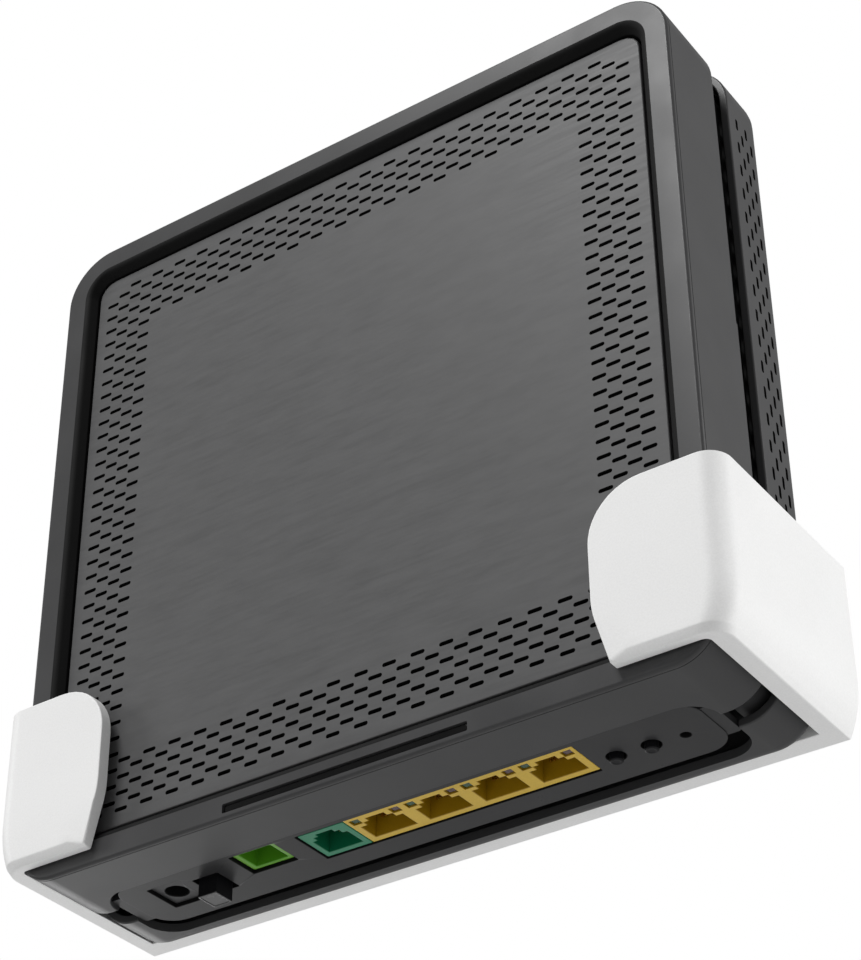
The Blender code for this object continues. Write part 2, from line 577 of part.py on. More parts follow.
def power_switch():
    low = POWER_TOP_Z + POWER_TRAVEL + 0.6 * MM
    body = box("power_switch", span(SWITCH_X, 8.4 * MM), (SWITCH_Y - 4.2 * MM, BOARD_Y - GAP),
               (low, low + 12.5 * MM))
    well_z = (low - 1.5 * MM, low + 8 * MM)
    cut(body, box("switch_well", span(SWITCH_X, 3.8 * MM), span(SWITCH_Y, 3.8 * MM), well_z))
    finish(body, BLACK_PLASTIC)
    place = (SWITCH_X, SWITCH_Y, 0.0)
    outline = rounded((SWITCH_X - 2.8 * MM, SWITCH_Y - 3.3 * MM), (SWITCH_X + 2.8 * MM, SWITCH_Y + 3.3 * MM),
                      (0.3 * MM,) * 4, 1)
    button = prism("power_button", outline, PORT_Z - POWER_PROUD, POWER_TOP_Z, origin=place)
    stem_z = (POWER_TOP_Z - 0.5 * MM, POWER_TOP_Z + 6.4 * MM)
    weld(button, box("power_stem", span(SWITCH_X, 3.1 * MM), span(SWITCH_Y, 3.1 * MM), stem_z))
    finish(button, BLACK_PLASTIC)


def push_keys():
    plate_top = PORT_Z + PORT_PLATE
    for name, x in KEYS:
        profile = ((1.3 * MM, PORT_Z - 1.5 * MM), (1.65 * MM, PORT_Z - 1.2 * MM), (1.65 * MM, plate_top + 0.4 * MM),
                   (2.8 * MM, plate_top + 0.4 * MM), (2.8 * MM, plate_top + 1.1 * MM),
                   (1.1 * MM, plate_top + 1.1 * MM), (1.1 * MM, -18.4 * MM))
        key = turned(name + "_button", (x, KEY_Y), profile, sides=20, origin=(x, KEY_Y, 0.0))
        finish(key, BLACK_PLASTIC)
        switch = box(name + "_switch", span(x, 6 * MM), (KEY_Y - 2.2 * MM, BOARD_Y - GAP), (-17.2 * MM, -12.5 * MM))
        finish(switch, BLACK_PLASTIC)
    profile = ((1.0 * MM, -21.6 * MM), (1.0 * MM, -17.7 * MM))
    plunger = turned("reset_plunger", (RESET_X, RESET_Y), profile, sides=14, origin=(RESET_X, RESET_Y, 0.0))
    finish(plunger, WHITE_PLASTIC)
    switch = box("reset_switch", span(RESET_X, 6 * MM), (RESET_Y - 2.2 * MM, BOARD_Y - GAP), (-17.2 * MM, -12.5 * MM))
    finish(switch, BLACK_PLASTIC)


# -------------------------------------------------------------- the antennas
def smooth_route(points, steps=3):
    """Catmull-Rom curve through the points."""
    ends = [2 * points[0] - points[1]] + points + [2 * points[-1] - points[-2]]
    route = []
    for p0, p1, p2, p3 in zip(ends, ends[1:], ends[2:], ends[3:]):
        for i in range(steps):
            t = i / steps
            route.append(0.5 * (2 * p1 + (p2 - p0) * t + (2 * p0 - 5 * p1 + 4 * p2 - p3) * t ** 2
                                + (3 * p1 - p0 - 3 * p2 + p3) * t ** 3))
    return route + [points[-1]]


def antenna_lead(name, corners):
    curve = bpy.data.curves.new(name, "CURVE")
    curve.dimensions = "3D"
    curve.bevel_depth = 0.6 * MM
    curve.bevel_resolution = 2
    curve.use_fill_caps = True
    route = smooth_route([Vector(corner) * MM for corner in corners])
    spline = curve.splines.new("POLY")
    spline.points.add(len(route) - 1)
    for point, place in zip(spline.points, route):
        point.co = (*place, 1.0)
    obj = bpy.data.objects.new(name, curve)
    bpy.context.scene.collection.objects.link(obj)
    return finish(obj, BLACK_PLASTIC)


def antennas():
    wall = HALF_W - NECK_INSET - NECK_THICK - GAP
    ceiling = CROWN_Z - NECK_INSET - NECK_THICK - GAP
    thick = 0.8 * MM
    depth = (-44.5 * MM, -33.5 * MM)
    for name, sign in (("left", -1), ("right", 1)):
        edges = sorted((sign * wall, sign * (wall - thick)))
        finish(box("antenna_%s" % name, edges, depth, (80 * MM, 125 * MM)), BOARD_GREEN)
        middle = sorted((sign * 16 * MM, sign * 61 * MM))
        finish(box("antenna_top_%s" % name, middle, depth, (ceiling - thick, ceiling)), BOARD_GREEN)
        side_route = ((87.9, -39, 96), (84, -39, 95), (76, -37, 92), (68, -33, 90.5), (61.5, -29.2, 90))
        top_route = ((38, -39, 160.6), (38, -38.5, 154), (39, -36, 140), (42, -31, 124), (44, -29.2, 106))
        antenna_lead("antenna_lead_%s" % name, [(sign * x, y, z) for x, y, z in side_route])
        antenna_lead("antenna_lead_top_%s" % name, [(sign * x, y, z) for x, y, z in top_route])


wall_bracket()
housing_frame()
front_panel()
rear_cover()
rating_label()
port_panel()
status_light()
main_board()
screws()
processor()
board_parts()
ethernet_jacks()
phone_jack()
fiber_port()
power_inlet()
power_switch()
push_keys()
antennas()
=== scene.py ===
import math
import bmesh
import bpy
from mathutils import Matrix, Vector
from mathutils.geometry import delaunay_2d_cdt


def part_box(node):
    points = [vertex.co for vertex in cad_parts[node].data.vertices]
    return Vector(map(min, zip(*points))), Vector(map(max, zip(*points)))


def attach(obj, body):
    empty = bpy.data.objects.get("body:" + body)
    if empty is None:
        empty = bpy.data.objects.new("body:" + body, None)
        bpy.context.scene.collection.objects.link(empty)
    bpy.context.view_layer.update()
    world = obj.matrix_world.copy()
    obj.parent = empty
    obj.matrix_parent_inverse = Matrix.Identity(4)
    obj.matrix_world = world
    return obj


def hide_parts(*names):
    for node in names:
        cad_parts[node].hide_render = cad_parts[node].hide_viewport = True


# A charcoal fibre gateway router in a white wall cradle. The fine shells, grilles, sockets and keys made
# here stand for the plain CAD solids; what is inside the router stays CAD, with its own materials.

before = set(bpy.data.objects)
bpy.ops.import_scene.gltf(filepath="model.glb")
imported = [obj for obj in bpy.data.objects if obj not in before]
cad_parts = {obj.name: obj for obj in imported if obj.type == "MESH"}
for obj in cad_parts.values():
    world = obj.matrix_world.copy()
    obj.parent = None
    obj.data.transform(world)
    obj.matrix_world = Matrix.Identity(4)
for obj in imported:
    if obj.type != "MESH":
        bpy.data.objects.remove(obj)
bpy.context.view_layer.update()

MM = 0.001
STRONG_FACE = 16384      # a flat face that sets its corners' normals
STRENGTH_LAYER = "__mod_weightednormals_faceweight"

# ------------------------------------------------------------ sizes read from the frame
frame_low, frame_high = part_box("housing_frame")
cover_low, cover_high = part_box("rear_cover")
cradle_low, cradle_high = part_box("wall_bracket")
panel_low, panel_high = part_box("front_panel")
plate_low, plate_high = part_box("port_panel")

HALF_W = frame_high.x
BOTTOM_Z, CROWN_Z = frame_low.z, frame_high.z
FRONT_Y, NECK_END_Y = frame_low.y, frame_high.y
COVER_FRONT_Y, BACK_Y = cover_low.y, cover_high.y
COVER_INSET = HALF_W - cover_high.x
PANEL_Y, PANEL_BACK_Y = panel_low.y - 0.5 * MM, panel_high.y      # a little prouder and smaller than the
PANEL_INSET = HALF_W - panel_high.x + 0.45 * MM                     # CAD panel, as in the photo
PORT_Z = plate_low.z
RIM_Z, TOP_Z = cradle_low.z, cradle_high.z
CRADLE_DEPTH = -cradle_low.y
CRADLE_OUT = cradle_high.x
FACE_MID_Z = (BOTTOM_Z + CROWN_Z) / 2

# ------------------------------------------------------------ sizes the boxes don't give
TOP_RADIUS = 14.5 * MM
BOTTOM_RADIUS = 11.5 * MM
FRAME_REAR_Y = -31.8 * MM
RIM_WIDTH = 7.25 * MM
RECESS_DRAFT = 1.5 * MM
RIM_SOFT = 0.8 * MM
RIM_INNER_SOFT = 1.8 * MM
RECESS_TURN = 1.3 * MM              # how far out on the rim's face the painted shade of its inner side begins
NECK_INSET = 4.6 * MM
NECK_THICK = 2.0 * MM
LEDGE_INSET = 12.0 * MM
LEDGE_THICK = 2.2 * MM
SEAM_Y = FRONT_Y + 1.15 * MM        # joint line between the front ring and the frame
SEAM_DEPTH = 0.22 * MM
STEP_Z = 75.3 * MM                  # above this the frame's rear edge stands back
STEP_DEPTH = 1.2 * MM
COVER_WALL = 2.2 * MM
COVER_ROUND = 5.0 * MM
CORNER_STEPS = 14

BAY_HALF = plate_high.x + 0.5 * MM
BAY_FRONT_Y = plate_low.y - 1.6 * MM
BAY_FRONT_RADIUS = 8.0 * MM
PLATE_HALF = plate_high.x - 2.9 * MM
PLATE_FRONT_Y = BAY_FRONT_Y + 0.2 * MM
PLATE_BACK_Y = plate_high.y
PLATE_FRONT_RADIUS = 5.5 * MM
PLATE_BACK_RADIUS = 7.0 * MM
BRIDGE_DEPTH = 0.25 * MM            # how far the plate's end lugs stand back from its face
NOTCH_HALF = BAY_HALF + 0.2 * MM
COVER_STRIP_Y = -13.0 * MM
PORT_PLATE = 2.2 * MM
SKIRT_THICK = 1.6 * MM
SKIRT_START = 10 * MM               # the skirt's open end, behind the plate's front edge
LUG_MARGIN = 4.5 * MM               # the end lugs are this much shorter than the plate at each end
KEY_HOLE, PIN_HOLE = 2.3 * MM, 1.2 * MM     # radii
CLEAR = 0.25 * MM                   # gap around each socket; painted shade on its walls makes it a dark line

DASH_PITCH = (3.949 * MM, 2.265 * MM)
DASH_SIZE = (3.9 * MM, 1.1 * MM)
DASH_COLUMNS, DASH_ROWS = 43, 75
BAND_COLUMNS, BAND_ROWS = 4, 7      # dashes run in bands along the panel's edges
VENT_Y = (-20.1 * MM, -17.7 * MM, -15.3 * MM, -12.9 * MM)
VENT_PITCH = 7.8 * MM
VENT_SIZE = (3.7 * MM, 1.15 * MM)
VENT_TOP = 150.6 * MM

BACK_PLATE = 6.2 * MM
FLAP_THICK = 3.5 * MM
CRADLE_BULGE = 3.4 * MM
CRADLE_SWELL = 13.9 * MM
FRONT_RADIUS = 6.0 * MM
INNER_RADIUS = 1.5 * MM
RIM_ROUND = 2.1 * MM
FLAP_EDGE = 69.25 * MM
FLAP_TOP_RADIUS = 13.9 * MM
FLAP_TAPER = 4.1 * MM
SCREW_X = 60.0 * MM                 # the wall screws' holes
SCREW_HOLE, SCREW_SINK = 2.3 * MM, 4.6 * MM
CASE_SCREWS = [(side * (HALF_W - 9 * MM), z) for side in (-1, 1)
               for z in (BOTTOM_Z + 17.5 * MM, CROWN_Z - 9 * MM)]
BOARD_BOSSES = ((-70 * MM, 42 * MM), (70 * MM, 8 * MM), (-70 * MM, 110 * MM), (70 * MM, 110 * MM))
BOSS_FRONT_Y = -22.3 * MM
SCREW_BORE, BORE_SIDES = 1.7 * MM, 20
BOSS_RADIUS, PILLAR_RADIUS = 3.6 * MM, 4.6 * MM
POST_BORE_Y = (-34 * MM, -10 * MM)
BOSS_BORE_Y = (-25 * MM, -12 * MM)
PILLAR_BORE_Y = (-24 * MM, 0.0)
SINK_FLOOR_Y = -15.6 * MM
POCKET_Y, POCKET_TOP_Z = (-49.0 * MM, -41.0 * MM), -14 * MM      # for the lamps behind the light bar


# ------------------------------------------------------------ outlines
def soften(corners, closed=True, steps=4):
    """Round each (u, v, radius) corner of a line with an arc."""
    points = []
    for k, (u, v, radius) in enumerate(corners):
        here = Vector((u, v))
        if radius <= 0 or (not closed and k in (0, len(corners) - 1)):
            points.append((u, v))
            continue
        before = (Vector(corners[k - 1][:2]) - here).normalized()
        after = (Vector(corners[(k + 1) % len(corners)][:2]) - here).normalized()
        half = before.angle(after) / 2
        centre = here + (before + after).normalized() * radius / math.sin(half)
        start = here + before * radius / math.tan(half) - centre
        end = here + after * radius / math.tan(half) - centre
        turn = math.copysign(math.pi - 2 * half, start.x * end.y - start.y * end.x)
        for i in range(steps + 1):
            cos, sin = math.cos(turn * i / steps), math.sin(turn * i / steps)
            points.append((centre.x + start.x * cos - start.y * sin,
                           centre.y + start.x * sin + start.y * cos))
    return points


def middle(low, high):
    return (low.x + high.x) / 2, (low.y + high.y) / 2


def outline(corners, grow=0.0, steps=4):
    """Closed anticlockwise outline with every side moved outwards by grow."""
    moved = []
    for k, (u, v, radius) in enumerate(corners):
        here = Vector((u, v))
        a = (here - Vector(corners[k - 1][:2])).normalized()
        b = (Vector(corners[(k + 1) % len(corners)][:2]) - here).normalized()
        normal_a, normal_b = Vector((a.y, -a.x)), Vector((b.y, -b.x))
        corner = here + (normal_a + normal_b) * grow / (1 + normal_a.dot(normal_b))
        if radius > 0:
            radius = max(radius + math.copysign(grow, a.x * b.y - a.y * b.x), 0.02 * MM)
        moved.append((corner.x, corner.y, radius))
    return soften(moved, steps=steps)


def rectangle(u, v, radii=(0.0,) * 4):
    """Corners of a rectangle between pairs of limits, anticlockwise from the lowest."""
    return [(u[0], v[0], radii[0]), (u[1], v[0], radii[1]), (u[1], v[1], radii[2]), (u[0], v[1], radii[3])]


def stadium(u, v, length, width):
    """A slot with round ends, along u."""
    radius = width / 2 - 0.001 * MM
    return rectangle((u - length / 2, u + length / 2), (v - width / 2, v + width / 2), (radius,) * 4)


def circle(u, v, radius):
    """A square whose corners are rounded right up to a circle."""
    inner = radius - 0.001 * MM
    return rectangle((u - radius, u + radius), (v - radius, v + radius), (inner,) * 4)


def housing_loop(inset, y, least=0.9 * MM):
    """The housing's outline in XZ, moved inwards by inset, at depth y."""
    low_r = max(BOTTOM_RADIUS - inset, least)
    top_r = max(TOP_RADIUS - inset, least)
    corners = rectangle((-HALF_W + inset, HALF_W - inset), (BOTTOM_Z + inset, CROWN_Z - inset),
                        (low_r, low_r, top_r, top_r))
    return [(x, y, z) for x, z in soften(corners, steps=CORNER_STEPS)]


# ------------------------------------------------------------ meshes
def new_bmesh():
    bm = bmesh.new()
    bm.faces.layers.int.new(STRENGTH_LAYER)
    return bm


def ring(bm, points):
    return [bm.verts.new(point) for point in points]


def skin(bm, first, second, skip=(), index=0):
    """Quads between two rings of as many points; skip leaves some out."""
    for i in range(len(first)):
        j = (i + 1) % len(first)
        if i not in skip:
            bm.faces.new((first[i], first[j], second[j], second[i])).material_index = index


def inside(point, polygon):
    """Even-odd test."""
    within = False
    for (u0, v0), (u1, v1) in zip(polygon, polygon[1:] + polygon[:1]):
        if (v0 > point[1]) != (v1 > point[1]):
            if point[0] < u0 + (u1 - u0) * (point[1] - v0) / (v1 - v0):
                within = not within
    return within


def fill(bm, rings, flat, extra=()):
    """Triangulate the flat region inside the first ring and outside the others.
    flat gives each ring's points in the plane; extra vertices lie inside the region."""
    verts = [vert for loop in rings for vert in loop] + [vert for vert, _ in extra]
    points = [Vector(p) / MM for loop in flat for p in loop] + [Vector(p) / MM for _, p in extra]
    outlines = [[(u / MM, v / MM) for u, v in loop] for loop in flat]
    owner = [k for k, loop in enumerate(rings) for _ in loop] + [-1] * len(extra)
    edges, start = [], 0
    for loop in rings:
        edges += [(start + i, start + (i + 1) % len(loop)) for i in range(len(loop))]
        start += len(loop)
    made = delaunay_2d_cdt(points, edges, [], 1, 1e-6)
    source = [ids[0] for ids in made[3]]
    strength = bm.faces.layers.int[STRENGTH_LAYER]
    for corners in made[2]:
        triangle = [source[c] for c in corners]
        owners = {owner[c] for c in triangle}
        if len(owners) == 1 and -1 not in owners:
            k = owners.pop()
            centre = sum((points[c] for c in triangle), Vector((0, 0))) / 3
            if inside(centre, outlines[k]) != (k == 0):
                continue
        face = bm.faces.new([verts[c] for c in triangle])
        face[strength] = STRONG_FACE


def edge_profile(low, high, soft_low, soft_high, steps=3):
    """(growth, level) pairs of a wall with a round edge at each end."""
    profile = []
    for soft, level, sign in ((soft_low, low, 1), (soft_high, high, -1)):
        turns = [math.radians(90 * i / steps) for i in range(steps + 1)] if soft else [math.pi / 2]
        part = [(-soft * (1 - math.sin(t)), level + sign * soft * (1 - math.cos(t))) for t in turns]
        profile += part if sign > 0 else part[::-1]
    return profile


def plate(bm, outer, holes, low, high, place, soft=(0.0, 0.0), steps=4, hole_index=0):
    """A slab between two levels. Each hole is (corners, soft edge, depth): depth None goes right through,
    otherwise the hole ends in a floor at that level. The holes' walls take the material hole_index."""
    low_rings, high_rings, low_flat, high_flat = [], [], [], []
    for corners, soft_low, depth in [(outer, None, None)] + list(holes):
        hole = soft_low is not None
        if not hole:
            profile = edge_profile(low, high, *soft)
        else:
            profile = edge_profile(low, high if depth is None else depth, soft_low, 0.0)
        sign = -1 if hole else 1
        flats = [outline(corners, sign * grow, steps) for grow, _ in profile]
        rings = [ring(bm, [place(u, v, level) for u, v in flat])
                 for flat, (_, level) in zip(flats, profile)]
        for first, second in zip(rings, rings[1:]):
            skin(bm, first, second, index=hole_index if hole else 0)
        low_rings.append(rings[0])
        low_flat.append(flats[0])
        if depth is None:
            high_rings.append(rings[-1])
            high_flat.append(flats[-1])
        else:
            fill(bm, [rings[-1]], [flats[-1]])
    fill(bm, low_rings, low_flat)
    fill(bm, high_rings, high_flat)


def along_y(u, v, w):
    return (u, w, v)


def along_z(u, v, w):
    return (u, v, w)


def lathe(bm, centre, profile, place=along_z, sides=32):
    """Turn (radius, level) pairs round an axis through centre; the ends are closed."""
    rings = []
    for radius, level in profile:
        turns = [2 * math.pi * i / sides for i in range(sides)]
        rings.append(ring(bm, [place(centre[0] + radius * math.cos(t), centre[1] + radius * math.sin(t),
                                     level) for t in turns]))
    for first, second in zip(rings, rings[1:]):
        skin(bm, first, second)
    bm.faces.new(rings[0])
    bm.faces.new(rings[-1])


def to_mesh(name, bm, sharp=38):
    bmesh.ops.recalc_face_normals(bm, faces=bm.faces)
    mesh = bpy.data.meshes.new(name)
    bm.to_mesh(mesh)
    bm.free()
    mesh.shade_smooth()
    mesh.set_sharp_from_angle(angle=math.radians(sharp))
    obj = bpy.data.objects.new(name, mesh)
    bpy.context.scene.collection.objects.link(obj)
    return obj


def carve(obj, tools, operation="DIFFERENCE"):
    """Exact Booleans, applied at once; the tools are used up."""
    for tool in tools:
        modifier = obj.modifiers.new("carve", "BOOLEAN")
        modifier.operation = operation
        modifier.solver = "EXACT"
        modifier.object = tool
    graph = bpy.context.evaluated_depsgraph_get()
    mesh = bpy.data.meshes.new_from_object(obj.evaluated_get(graph))
    obj.modifiers.clear()
    obj.data = mesh
    for tool in tools:
        bpy.data.objects.remove(tool)


def slab(name, *form, **options):
    """A plate as an object of its own."""
    bm = new_bmesh()
    plate(bm, *form, **options)
    return to_mesh(name, bm)


def block(name, x, y, z, radius=0.0):
    """A plain cutting block."""
    return slab(name, rectangle(x, y, (radius,) * 4), [], z[0], z[1], along_z)


def rod(radius, ends):
    """Profile of a plain cylinder."""
    return [(radius, end) for end in ends]


def spindle(name, centre, profile, place=along_y, sides=28):
    bm = new_bmesh()
    lathe(bm, centre, profile, place, sides)
    return to_mesh(name, bm)


def settle(obj, material, body, slot, *nodes, sharp=38):
    """Give the piece its material and body, and hide the CAD nodes that it stands for; slot is not used."""
    materials = material if isinstance(material, list) else [material]
    indices = [face.material_index for face in obj.data.polygons]
    obj.data.materials.clear()
    for one in materials:
        obj.data.materials.append(one)
    for face, index in zip(obj.data.polygons, indices):
        face.material_index = min(index, len(materials) - 1)
    obj.data.shade_smooth()
    obj.data.set_sharp_from_angle(angle=math.radians(sharp))
    normals = obj.modifiers.new("flat_faces_first", "WEIGHTED_NORMAL")
    normals.mode = "FACE_AREA"
    normals.weight = 50
    normals.keep_sharp = True
    normals.use_face_influence = True
    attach(obj, body)
    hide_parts(*nodes)


# ------------------------------------------------------------ materials
class Nodes:
    """A short way to wire one material."""

    def __init__(self, name):
        self.material = bpy.data.materials.new(name)
        self.material.use_nodes = True
        self.tree = self.material.node_tree
        self.shader = self.tree.nodes["Principled BSDF"]
        self.place = self.add("ShaderNodeTexCoord").outputs["Object"]

    def add(self, kind, **inputs):
        node = self.tree.nodes.new(kind)
        for key, value in inputs.items():
            self.set(node.inputs[key.replace("_", " ")], value)
        return node

    def set(self, socket, value):
        if isinstance(value, bpy.types.NodeSocket):
            self.tree.links.new(value, socket)
        else:
            socket.default_value = value

    def noise(self, scale, detail=2.0, roughness=0.5, stretch=(1, 1, 1)):
        """Noise with features of about 1/scale metres."""
        spread = self.add("ShaderNodeMapping", Vector=self.place, Scale=stretch)
        noise = self.add("ShaderNodeTexNoise", Vector=spread.outputs[0], Scale=scale, Detail=detail,
                         Roughness=roughness)
        return noise.outputs["Fac"]

    def ramp(self, value, low, high, start=0.35, end=0.65):
        node = self.add("ShaderNodeMapRange", Value=value, From_Min=start, From_Max=end,
                        To_Min=low, To_Max=high)
        return node.outputs["Result"]

    def math(self, operation, *values):
        node = self.add("ShaderNodeMath")
        node.operation = operation
        for socket, value in zip(node.inputs, values):
            self.set(socket, value)
        return node.outputs[0]

    def mix(self, factor, first, second):
        node = self.add("ShaderNodeMix")
        node.data_type = "RGBA"
        self.set(node.inputs["Factor"], factor)
        self.set(node.inputs["A"], first)
        self.set(node.inputs["B"], second)
        return node.outputs["Result"]

    def bump(self, height, strength, distance, normal=None):
        node = self.add("ShaderNodeBump", Height=height, Strength=strength, Distance=distance)
        if normal is not None:
            self.set(node.inputs["Normal"], normal)
        return node.outputs["Normal"]

    def finish(self, **sockets):
        for key, value in sockets.items():
            self.set(self.shader.inputs[key.replace("_", " ")], value)
        return self.material


def rgba(colour, factor=1.0):
    return (*[min(channel * factor, 1.0) for channel in colour], 1.0)


def moulded(name, colour, roughness, grain=4200.0, relief=0.012, drift=0.06, **extra):
    """Injection-moulded plastic: a spark-eroded grain, and colour and gloss that drift a little."""
    n = Nodes(name)
    cloud = n.noise(38.0, 3.0)
    speck = n.noise(grain * 0.6, 2.0, 0.6)
    base = n.mix(n.ramp(cloud, 0.0, 1.0), rgba(colour, 1 - drift), rgba(colour, 1 + drift))
    base = n.mix(n.ramp(speck, 0.0, 0.25), base, rgba(colour, 1.25))
    rough = n.ramp(n.noise(60.0, 4.0), roughness - 0.03, roughness + 0.04)
    normal = n.bump(n.noise(grain, 3.0, 0.65), 0.35, relief * MM)
    return n.finish(Base_Color=base, Roughness=rough, Normal=normal, **extra)


def brushed(name, colour, roughness):
    """Satin panel with a fine brushed grain that runs across."""
    n = Nodes(name)
    streak = n.noise(1100.0, 3.0, 0.6, (0.06, 1, 1))
    mottle = n.noise(260.0, 4.0, 0.65, (0.3, 1, 1))
    base = n.mix(n.ramp(streak, 0.0, 1.0), rgba(colour, 0.97), rgba(colour, 1.03))
    base = n.mix(n.ramp(mottle, 0.0, 0.8), base, rgba(colour, 1.16))
    rough = n.ramp(streak, roughness - 0.05, roughness + 0.05)
    normal = n.bump(streak, 0.25, 0.015 * MM)
    normal = n.bump(n.noise(5200.0, 2.0, 0.6), 0.25, 0.012 * MM, normal)
    return n.finish(Base_Color=base, Roughness=rough, Normal=normal, Specular_IOR_Level=0.2)


def drawn_metal(name, colour, roughness, stretch=(1, 1, 0.06)):
    """Metal with a directional grain."""
    n = Nodes(name)
    streak = n.noise(2200.0, 3.0, 0.6, stretch)
    stain = n.noise(140.0, 4.0)
    base = n.mix(n.ramp(stain, 0.0, 1.0), rgba(colour, 0.88), rgba(colour, 1.05))
    rough = n.ramp(streak, roughness - 0.06, roughness + 0.08)
    normal = n.bump(streak, 0.2, 0.01 * MM)
    return n.finish(Base_Color=base, Roughness=rough, Normal=normal, Metallic=1.0)


def circuit_board(name):
    """Green solder mask over copper tracks, with small bare pads."""
    n = Nodes(name)
    spread = n.add("ShaderNodeMapping", Vector=n.place, Scale=(420, 420, 420))
    tracks = n.add("ShaderNodeTexVoronoi", Vector=spread.outputs[0], Scale=1.0)
    tracks.distance = "CHEBYCHEV"
    pads = n.add("ShaderNodeTexVoronoi", Vector=n.place, Scale=300.0)
    track = n.ramp(tracks.outputs["Distance"], 0.0, 1.0, 0.42, 0.46)
    pad = n.ramp(pads.outputs["Distance"], 1.0, 0.0, 0.16, 0.18)
    base = n.mix(track, (0.010, 0.085, 0.030, 1.0), (0.018, 0.130, 0.050, 1.0))
    base = n.mix(pad, base, (0.55, 0.50, 0.36, 1.0))
    normal = n.bump(track, 0.4, 0.03 * MM)
    return n.finish(Base_Color=base, Roughness=n.ramp(pad, 0.32, 0.45, 0.0, 1.0), Normal=normal)


def clear_guide(name, colour, roughness=0.16):
    """Tinted light-guide plastic."""
    n = Nodes(name)
    haze = n.noise(500.0, 3.0)
    base = n.mix(n.ramp(haze, 0.0, 1.0), rgba(colour, 0.85), rgba(colour, 1.15))
    rough = n.ramp(haze, roughness, roughness + 0.08)
    return n.finish(Base_Color=base, Roughness=rough, Transmission_Weight=0.35, IOR=1.49)


def label_stock(name):
    """Blank satin label with a thin ruled frame."""
    n = Nodes(name)
    fibre = n.noise(2600.0, 4.0, 0.7)
    low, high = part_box("rating_label")
    axes = n.add("ShaderNodeSeparateXYZ", Vector=n.place)
    border, half_line = 2.2 * MM, 0.16 * MM
    gaps = []
    for axis, a, b in (("X", low.x, high.x), ("Z", low.z, high.z)):
        away = n.math("ABSOLUTE", n.math("SUBTRACT", axes.outputs[axis], (a + b) / 2))
        gaps.append(n.math("SUBTRACT", away, (b - a) / 2 - border))
    line = n.math("COMPARE", n.math("MAXIMUM", *gaps), 0.0, half_line)
    paper = n.mix(n.ramp(fibre, 0.0, 1.0), (0.66, 0.66, 0.64, 1), (0.74, 0.74, 0.72, 1))
    base = n.mix(line, paper, (0.10, 0.10, 0.10, 1))
    normal = n.bump(fibre, 0.2, 0.01 * MM)
    return n.finish(Base_Color=base, Roughness=n.ramp(fibre, 0.46, 0.58), Normal=normal)


WHITE = moulded("cradle_white", (0.84, 0.84, 0.835), 0.50, grain=3600.0, relief=0.010, drift=0.012,
                Specular_IOR_Level=0.3)
CHARCOAL = moulded("housing_charcoal", (0.046, 0.046, 0.047), 0.36, relief=0.010, Specular_IOR_Level=0.26)
PANEL = brushed("panel_charcoal", (0.092, 0.092, 0.093), 0.42)
FASCIA = moulded("port_fascia_gloss", (0.029, 0.029, 0.030), 0.30, grain=1800.0, relief=0.0004,
                 Specular_IOR_Level=0.2)
BLACK = moulded("satin_black", (0.012, 0.012, 0.013), 0.38)
# Near-black painted shade for recess walls, the rim's inner rounding, bores, and the walls of dashes, vents
# and gaps.
SHADE = moulded("painted_recess_shade", (0.004, 0.004, 0.004), 0.7, Specular_IOR_Level=0.15)
KEY_BLACK = moulded("key_black", (0.006, 0.006, 0.007), 0.38, Specular_IOR_Level=0.16)
KEY_FACE = moulded("key_face", (0.075, 0.075, 0.076), 0.26)
CHIP_BLACK = moulded("chip_black", (0.020, 0.020, 0.021), 0.55, grain=6000.0, relief=0.02)
SMOKED = moulded("smoked_lens", (0.004, 0.004, 0.004), 0.22, grain=1500.0, relief=0.002,
                 Specular_IOR_Level=0.12)
YELLOW = moulded("socket_yellow", (0.60, 0.40, 0.035), 0.36)
TEAL = moulded("socket_teal", (0.015, 0.200, 0.100), 0.34)
# Darker copies of the socket colours for the walls of their mouths: painted shade inside the sockets.
YELLOW_SHADED = moulded("socket_yellow_painted_shade", (0.36, 0.21, 0.004), 0.40)
TEAL_SHADED = moulded("socket_teal_painted_shade", (0.004, 0.150, 0.065), 0.38)
LIME_SHADED = moulded("socket_lime_painted_shade", (0.085, 0.300, 0.012), 0.34)
LIME = moulded("socket_lime", (0.120, 0.330, 0.025), 0.32)
NYLON = moulded("white_nylon", (0.74, 0.74, 0.71), 0.42)
GREEN_LAMP = clear_guide("green_lamp", (0.045, 0.11, 0.05))
AMBER_LAMP = clear_guide("amber_lamp", (0.13, 0.075, 0.07))
CLEAR_GUIDE = clear_guide("clear_guide", (0.78, 0.80, 0.80))
BOARD = circuit_board("solder_mask")
GOLD = drawn_metal("gold_plate", (0.83, 0.58, 0.20), 0.22)
TIN = drawn_metal("tinned_steel", (0.62, 0.62, 0.60), 0.34)
STEEL = drawn_metal("zinc_steel", (0.52, 0.52, 0.53), 0.30, (1, 0.1, 1))
ALUMINIUM = drawn_metal("aluminium", (0.72, 0.73, 0.74), 0.36)
CERAMIC = moulded("zirconia", (0.80, 0.78, 0.72), 0.16, relief=0.002)
PAD = moulded("thermal_silicone", (0.30, 0.33, 0.42), 0.80, grain=2500.0, relief=0.03)
PAPER = label_stock("label_paper")


